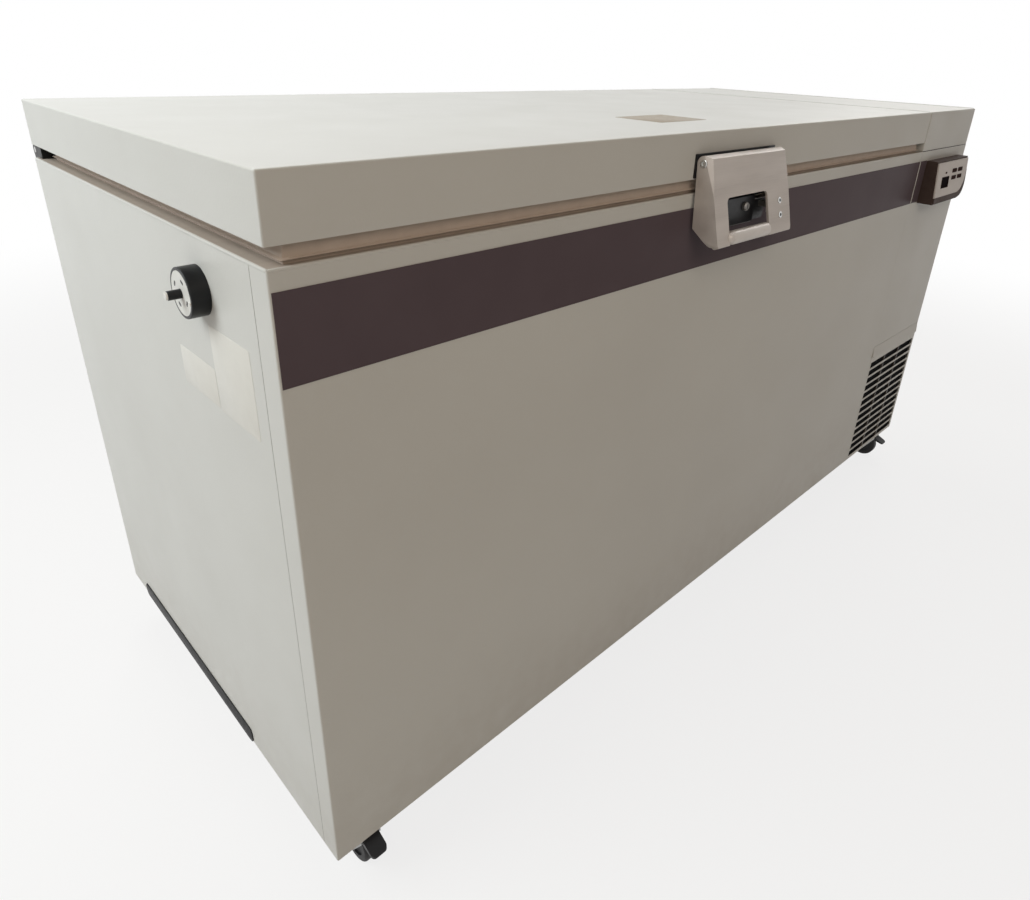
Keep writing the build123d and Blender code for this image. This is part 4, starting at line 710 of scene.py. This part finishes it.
# Rear panel screws: plated screws with domed heads, of the same kind as the hinges have, in a row
# along the foot of the panel and up both its ends, so that it comes off for service.
REAR_SCREWS = 9
REAR_SCREW_STEP = 0.249
REAR_SCREW_IN = 0.02
REAR_SCREW_UP = 0.018
END_SCREWS = 3
END_SCREW_STEP = 0.2
row_z = rear_low.z + REAR_SCREW_UP
ends_x = (rear_low.x + REAR_SCREW_IN, rear_high.x - REAR_SCREW_IN)
rear_spots = [(ends_x[0] + step * REAR_SCREW_STEP, row_z) for step in range(REAR_SCREWS)]
for step in range(1, END_SCREWS + 1):
    rear_spots += [(x, row_z + step * END_SCREW_STEP) for x in ends_x]
bm = bmesh.new()
for x, z in rear_spots:
    add_pan_screw(bm, (x, rear_high.y, z), (0, 1, 0), HINGE_SCREW_R, HINGE_SCREW_H)
piece("rear_panel_screws", bm, screw_steel, "cabinet")

# Latch: a folded handle of brushed stainless sheet on a pivot, on a black mount screwed to the lid;
# behind its window are the black strike with a plated bar, the hook and a key lock.
ALONG_WIDTH = (70.0, 1.0, 1.0)
HANDLE_BEND_R = 0.0009
HANDLE_LEAN = 0.2472
BROW_FORWARD = 0.012
BROW_RISE = 0.0085
HANDLE_SCREW_IN = 0.202
HANDLE_SCREWS_DOWN = (0.084, 0.108)
SOCKET_R = 0.0054
SOCKET_H = 0.0016
PIVOT_SCREW_R = 0.0062
PIVOT_SCREW_H = 0.0018
SHADE_LIFT = 0.00064
SHADE_T = 0.0002
SHADE_FOOT = 0.49
SHADE_TOP = 0.47
handle_steel = brushed(
    "handle_steel", dark=(164, 156, 150), light=(204, 197, 191), smooth=0.34, rough=0.46,
    stretch=ALONG_WIDTH, per_metre=1400.0, turned=0.5, metallic=0.18,
)
lock_steel = brushed(
    "lock_steel", dark=(92, 90, 87), light=(126, 123, 119), smooth=0.3, rough=0.42,
    stretch=EVEN, per_metre=700.0, turned=0.1, metallic=0.6,
)
black_plastic = moulded("black_plastic", (22, 22, 24), roughness=0.38)
dress(handle_steel, "latch_handle")
dress(plated_steel, "latch_pivot_pin", "strike_bar")
dress(lock_steel, "lock_cylinder", "latch_hook")
dress(black_coat, "latch_mount")
dress(black_plastic, "strike_housing")
soften(HANDLE_BEND_R, "latch_handle")
handle_low, handle_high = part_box("latch_handle")
pin_low, pin_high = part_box("latch_pivot_pin")
pivot = (pin_low + pin_high) / 2
brow_y = pivot.y - BROW_FORWARD
brow_z = pivot.z + BROW_RISE
face_out = Vector((0.0, -1.0, HANDLE_LEAN)).normalized()


def face_y(height):
    """Where the handle's leaning front plate lies at a height."""
    return brow_y - (brow_z - height) * HANDLE_LEAN


def hexagon(flat):
    """The outline of a hexagon, by angle, from half its width across flats."""
    return lambda angle: flat / cos(angle % (pi / 3) - pi / 6)


def add_socket_screw(bm, at, outward, radius, height):
    """A low round head with a hexagon socket."""
    socket = hexagon(radius * 0.5)
    rings = (
        (-height * 0.4, radius), (height * 0.7, radius), (height, radius * 0.86),
        (height, socket), (-height * 0.3, socket),
    )
    add_turned(bm, at, outward, rings, sides=36)


screw_x = handle_low.x + HANDLE_SCREW_IN
screw_heights = [handle_high.z - down for down in HANDLE_SCREWS_DOWN]
bm = bmesh.new()
for height in screw_heights:
    add_socket_screw(bm, (screw_x, face_y(height), height), face_out, SOCKET_R, SOCKET_H)
for side, outward in ((handle_low.x, -1), (handle_high.x, 1)):
    add_socket_screw(bm, (side, pivot.y, pivot.z), (outward, 0, 0), PIVOT_SCREW_R, PIVOT_SCREW_H)
piece("handle_screws", bm, plated_steel, "latch")
# Painted shade: thin dark hexagons laid inside the screw sockets stand in for the shade in them.
shade_rings = ((0.0, hexagon(SOCKET_R * SHADE_FOOT)), (SHADE_T, hexagon(SOCKET_R * SHADE_TOP)))
bm = bmesh.new()
for height in screw_heights:
    at = Vector((screw_x, face_y(height), height)) + face_out * SHADE_LIFT
    add_turned(bm, at, face_out, shade_rings, sides=36)
piece("socket_shades", bm, black_plastic, "latch")

# Grip sleeve: a satin metal tube slid over the round bar that closes the foot of the handle's window,
# its ends spun to a long round on the left and a short one on the right.
SLEEVE_IN = 0.0385
SLEEVE_BACK = 0.010
SLEEVE_DOWN = 0.127
SLEEVE_LONG = 0.123
SLEEVE_R = 0.0114
LEFT_ROUND = {"length": 0.013, "drop": 0.0090}
RIGHT_ROUND = {"length": 0.006, "drop": 0.0070}
ROUND_STEPS = 8
sleeve_metal = brushed(
    "sleeve_metal", dark=(192, 186, 181), light=(210, 204, 199), smooth=0.34, rough=0.44,
    stretch=EVEN, per_metre=900.0, turned=0.1, metallic=0.18,
)


def round_end(length, drop):
    """Rings of height and radius over a rounded end of the sleeve, from its tip to its full width."""
    turns = [step / ROUND_STEPS * pi / 2 for step in range(ROUND_STEPS + 1)]
    return [(length * (1 - cos(turn)), SLEEVE_R - drop * (1 - sin(turn))) for turn in turns]


sleeve_at = (handle_low.x + SLEEVE_IN, handle_low.y + SLEEVE_BACK, handle_high.z - SLEEVE_DOWN)
sleeve_rings = round_end(**LEFT_ROUND)
sleeve_rings += [(SLEEVE_LONG - height, radius) for height, radius in reversed(round_end(**RIGHT_ROUND))]
bm = bmesh.new()
add_turned(bm, sleeve_at, (1, 0, 0), sleeve_rings, sides=40)
piece("grip_sleeve", bm, sleeve_metal, "latch")

# Control panel: a dark moulded housing screwed to the bay's front, a light grey fascia with a large
# round corner, a dark display window in a thin rim, four rubber keys and a signal lens.
PANEL_LEAN = 0.09319
PANEL_EDGE_R = 0.0006
KEYS = 4
GLASS_DARK = (14, 9, 11)
GLASS_LIGHT = (24, 15, 17)
GLASS_T = 0.0026
FASCIA_STEP = 0.0004
RIM_R = 0.0007
LENS_UP = 0.024
LENS_W = 0.011
LENS_H = 0.0045
LENS_R = 0.002205
LENS_T = 0.0008
LENS_SOFT = 0.0004
housing_plastic = moulded("housing_plastic", (76, 64, 60), roughness=0.5, gloss=0.05)
fascia_plastic = moulded("fascia_plastic", (212, 206, 202), roughness=0.42, shift=4)
key_plastic = moulded("key_plastic", (62, 48, 46), roughness=0.6, gloss=0.003)
dress(housing_plastic, "control_housing")
dress(fascia_plastic, "control_fascia")
dress(key_plastic, *[f"panel_key_{number}" for number in range(1, KEYS + 1)])


def smoked_glass():
    """Near-black window with faint wipe marks."""
    made, tree, shader = start_finish("smoked_glass")
    wipe = grain(tree, 60.0, stretch=(6.0, 1.0, 1.0), detail=5.0)
    tree.links.new(between(tree, wipe, srgb(*GLASS_DARK), srgb(*GLASS_LIGHT)), shader.inputs["Base Color"])
    tree.links.new(spread(tree, wipe, 0.3, 0.42), shader.inputs["Roughness"])
    shader.inputs["Specular IOR Level"].default_value = 0.0008
    return made


dress(smoked_glass(), "display_window")
soften(PANEL_EDGE_R, "control_housing", "control_fascia")
window_low, window_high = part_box("display_window")
panel_out = Vector((0.0, -cos(PANEL_LEAN), sin(PANEL_LEAN)))
panel_up = Vector((0.0, sin(PANEL_LEAN), cos(PANEL_LEAN)))
glass_middle = (window_low + window_high) / 2 + panel_out * (GLASS_T / 2)
half_wide = Vector(((window_high.x - window_low.x) / 2, 0.0, 0.0))
half_high = panel_up * (window_high.z - window_low.z) / 2
rim_corners = [
    glass_middle + half_wide * across + half_high * up + panel_out * FASCIA_STEP
    for across, up in ((-1, -1), (1, -1), (1, 1), (-1, 1))
]
bm = bmesh.new()
for corner, after in zip(rim_corners, rim_corners[1:] + rim_corners[:1]):
    add_bead(bm, corner, after, RIM_R)
lens_at = glass_middle + panel_up * LENS_UP + panel_out * FASCIA_STEP
add_slab(bm, lens_at, (1, 0, 0), panel_up, LENS_W, LENS_H, LENS_R, LENS_T, LENS_SOFT)
piece("display_rim_and_lens", bm, key_plastic, "cabinet")

# Fascia foot: the dark lower border of the fascia, a thin moulded strip that laps its edge, follows
# the large corner and runs out up the right side.
FOOT_H = 0.013
FOOT_T = 0.0004
FOOT_LAP = 0.0003
FOOT_DEEP = 0.0032
FOOT_FLARE = 0.001
FOOT_STEPS = 14
FASCIA_T = 0.003
CORNER_R = 0.043
fascia_low, fascia_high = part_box("control_fascia")
fascia_face = (fascia_low + fascia_high) / 2 + panel_out * (FASCIA_T / 2)
half_w = (fascia_high.x - fascia_low.x) / 2 + FOOT_LAP
half_h = (fascia_high.z - fascia_low.z - FASCIA_T * sin(PANEL_LEAN)) / cos(PANEL_LEAN) / 2 + FOOT_LAP
inner_r = CORNER_R + FOOT_H + FOOT_FLARE
edges = [((-half_w, -half_h), (-half_w, FOOT_H - half_h))]
for step in range(FOOT_STEPS + 1):
    angle = (step / FOOT_STEPS - 1) * pi / 2
    pair = []
    for radius, lift in ((CORNER_R, 0.0), (inner_r, FOOT_H)):
        across = half_w - radius + radius * cos(angle)
        pair.append((across, lift - half_h + radius + radius * sin(angle)))
    edges.append(tuple(pair))
bm = bmesh.new()
rows = []
for pair in edges:
    row = []
    for across, up in pair:
        for lift in (-FOOT_DEEP, FOOT_T):
            offset = Vector((across, 0.0, 0.0)) + panel_up * up + panel_out * lift
            row.append(bm.verts.new(fascia_face + offset))
    rows.append(row)
for one, other in zip(rows, rows[1:]):
    for first, second in ((0, 1), (1, 3), (3, 2), (2, 0)):
        bm.faces.new((one[first], one[second], other[second], other[first]))
for end in (rows[0], rows[-1]):
    bm.faces.new((end[0], end[1], end[3], end[2]))
piece("fascia_foot", bm, housing_plastic, "cabinet")

# Grille and filter: the grille is the same painted sheet, punched with level slots, with upright ribs
# behind it, painted dark as the shade they lie in; behind them lies a black woven filter mat.
RIB_T = 0.004
RIB_SHADE = (66, 60, 55)
WEAVE_DARK = (5, 5, 6)
WEAVE_LIGHT = (18, 18, 20)
WEAVE_DEEP = 0.0005
# Painted shade: the ribs behind the slats take a dark colour for the shade they sit in.
ribs_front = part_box("front_grille")[1].y - RIB_T
grille_paint = powder_coat("grille_paint", PAINT_DARK, PAINT_LIGHT, ribs_front - SHADE_FADE, RIB_SHADE)
dress(grille_paint, "front_grille")


def filter_mesh():
    """Black open weave."""
    made, tree, shader = start_finish("filter_weave")
    threads = grain(tree, 700.0, stretch=(3.0, 1.0, 1.0))
    tree.links.new(between(tree, threads, srgb(*WEAVE_DARK), srgb(*WEAVE_LIGHT)), shader.inputs["Base Color"])
    shader.inputs["Roughness"].default_value = 0.9
    raise_surface(tree, shader, threads, WEAVE_DEEP)
    shader.inputs["Specular IOR Level"].default_value = 0.05
    return made


dress(filter_mesh(), "air_filter")

# Compressor bay: aluminium condenser and fan, black motor and compressors on rubber feet, a jacketed
# heat exchanger, a plastic electrical box, and the plastic gland screwed into the rear panel.
UPRIGHT = (1.0, 1.0, 30.0)
fin_metal = brushed(
    "fin_metal", dark=(150, 152, 154), light=(182, 184, 186), smooth=0.34, rough=0.5,
    stretch=UPRIGHT, per_metre=700.0, turned=0.3,
)
box_plastic = moulded("box_plastic", (178, 174, 170), roughness=0.5)
dress(fin_metal, "condenser_coil", "fan_rotor")
dress(black_plastic, "fan_shroud", "cable_gland")
dress(black_coat, "fan_motor", "first_stage_compressor", "second_stage_compressor")
dress(black_rubber, "compressor_feet", "cascade_exchanger")
dress(box_plastic, "electrical_box")

# Access port: a black turned collar pressed into the side, a white disc with four slots let into it, with
# thin dark plates on the disc's face that paint the shade in the slots, and a black push stem with a pale end
# cap.
SLOTS = 4
SLOT_TURN = radians(30)
SLOT_OUT = 0.017
SLOT_LONG = 0.0074
SLOT_SHORT = 0.0034
SLOT_R = 0.0016
SLOT_T = 0.00012
SLOT_SOFT = 0.00004
CAP_R = 0.0049
CAP_CROWN_R = 0.004312
CAP_EYE_R = 0.00147
CAP_SINK = 0.0006
CAP_SIDE = 0.0009
CAP_H = 0.0014
TAB_FORWARD = 0.0245
TAB_DOWN = 0.006
TAB_W = 0.0046
TAB_H = 0.0034
TAB_R = 0.0008
TAB_T = 0.0012
TAB_SOFT = 0.0003
disc_plastic = moulded("disc_plastic", (224, 224, 220), roughness=0.45, shift=4)
collar_plastic = moulded("collar_plastic", (16, 17, 19), roughness=0.34)
dress(collar_plastic, "port_collar", "port_plunger")
dress(disc_plastic, "port_disc")
collar_low, collar_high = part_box("port_collar")
port_y = (collar_low.y + collar_high.y) / 2
port_z = (collar_low.z + collar_high.z) / 2
disc_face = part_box("port_disc")[0].x
stem_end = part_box("port_plunger")[0].x
# Painted shade: thin dark plates over the slots stand in for the shade inside them.
bm = bmesh.new()
for number in range(SLOTS):
    angle = SLOT_TURN + tau * number / SLOTS
    outward = Vector((0.0, cos(angle), sin(angle)))
    along = Vector((0.0, -sin(angle), cos(angle)))
    slot_at = Vector((disc_face, port_y, port_z)) + outward * SLOT_OUT
    add_slab(bm, slot_at, along, outward, SLOT_LONG, SLOT_SHORT, SLOT_R, SLOT_T, SLOT_SOFT)
piece("port_slot_shades", bm, collar_plastic, "cabinet")
bm = bmesh.new()
cap_rings = ((-CAP_SINK, CAP_R), (CAP_SIDE, CAP_R), (CAP_H, CAP_CROWN_R), (CAP_H, CAP_EYE_R))
add_turned(bm, (stem_end, port_y, port_z), (-1, 0, 0), cap_rings, sides=32)
piece("stem_cap", bm, disc_plastic, "port_stem")
bm = bmesh.new()
tab_at = (disc_face, port_y - TAB_FORWARD, port_z - TAB_DOWN)
add_slab(bm, tab_at, (0, -1, 0), (0, 0, 1), TAB_W, TAB_H, TAB_R, TAB_T, TAB_SOFT)
piece("port_tab", bm, disc_plastic, "cabinet")

# Casters: plated plates bolted under the base pan, pressed steel forks that turn under the front
# plates and stand fixed under the rear ones, dark rubber wheels on axle bolts, and black brake pedals.
CASTERS = (
    ("front_left", -1, -1, "front_left_fork"),
    ("front_right", 1, -1, "front_right_fork"),
    ("rear_left", -1, 1, "cabinet"),
    ("rear_right", 1, 1, "cabinet"),
)
CASTER_PLATE_W = 0.096
CASTER_PLATE_D = 0.076
CASTER_PLATE_T = 0.004
PLATE_BOLT_IN = 0.012
AXLE_TRAIL = 0.028
BOLT_FLAT = 0.0062
BOLT_H = 0.0045
wheel_rubber = moulded("wheel_rubber", (34, 34, 35), roughness=0.55)
fork_steel = brushed(
    "fork_steel", dark=(120, 120, 119), light=(156, 156, 154), smooth=0.3, rough=0.5,
    stretch=EVEN, per_metre=260.0, turned=0.1,
)
dress(fork_steel, "caster_plates", "front_left_caster_fork", "front_right_caster_fork", "rear_caster_forks")
dress(black_plastic, "front_left_brake_pedal", "front_right_brake_pedal")
dress(wheel_rubber, *[f"{name}_wheel" for name, right, rear, body in CASTERS])


def add_hex_bolt(bm, at, outward, flat, height):
    """A hexagon head on a washer, chamfered on top."""
    rings = (
        (-height * 0.15, flat * 1.5), (height * 0.18, flat * 1.5), (height * 0.2, flat * 1.42),
        (height * 0.2, hexagon(flat)), (height * 0.88, hexagon(flat)), (height, hexagon(flat * 0.9)),
        (height, flat * 0.5), (height * 0.97, flat * 0.2),
    )
    add_turned(bm, at, outward, rings, sides=36)


plates_low, plates_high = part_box("caster_plates")
plates_middle = (plates_low + plates_high) / 2
reach_x = (plates_high.x - plates_low.x - CASTER_PLATE_W) / 2
reach_y = (plates_high.y - plates_low.y - CASTER_PLATE_D) / 2
plate_under = plates_high.z - CASTER_PLATE_T
bolt_x = CASTER_PLATE_W / 2 - PLATE_BOLT_IN
bolt_y = CASTER_PLATE_D / 2 - PLATE_BOLT_IN
fork_low, fork_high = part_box("front_left_caster_fork")
fork_half = (fork_high.x - fork_low.x) / 2
wheel_low, wheel_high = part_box("front_left_wheel")
axle_z = (wheel_low.z + wheel_high.z) / 2
plate_bolts = bmesh.new()
for name, right, rear, body in CASTERS:
    x = plates_middle.x + right * reach_x
    y = plates_middle.y + rear * reach_y
    for side in (-1, 1):
        for end in (-1, 1):
            at = (x + side * bolt_x, y + end * bolt_y, plate_under)
            add_hex_bolt(plate_bolts, at, (0, 0, -1), BOLT_FLAT, BOLT_H)
    bm = bmesh.new()
    for side in (-1, 1):
        at = (x + side * fork_half, y + rear * AXLE_TRAIL, axle_z)
        add_hex_bolt(bm, at, (side, 0, 0), BOLT_FLAT, BOLT_H)
    piece(f"{name}_axle_nuts", bm, screw_steel, body)
piece("caster_plate_bolts", plate_bolts, screw_steel, "cabinet")
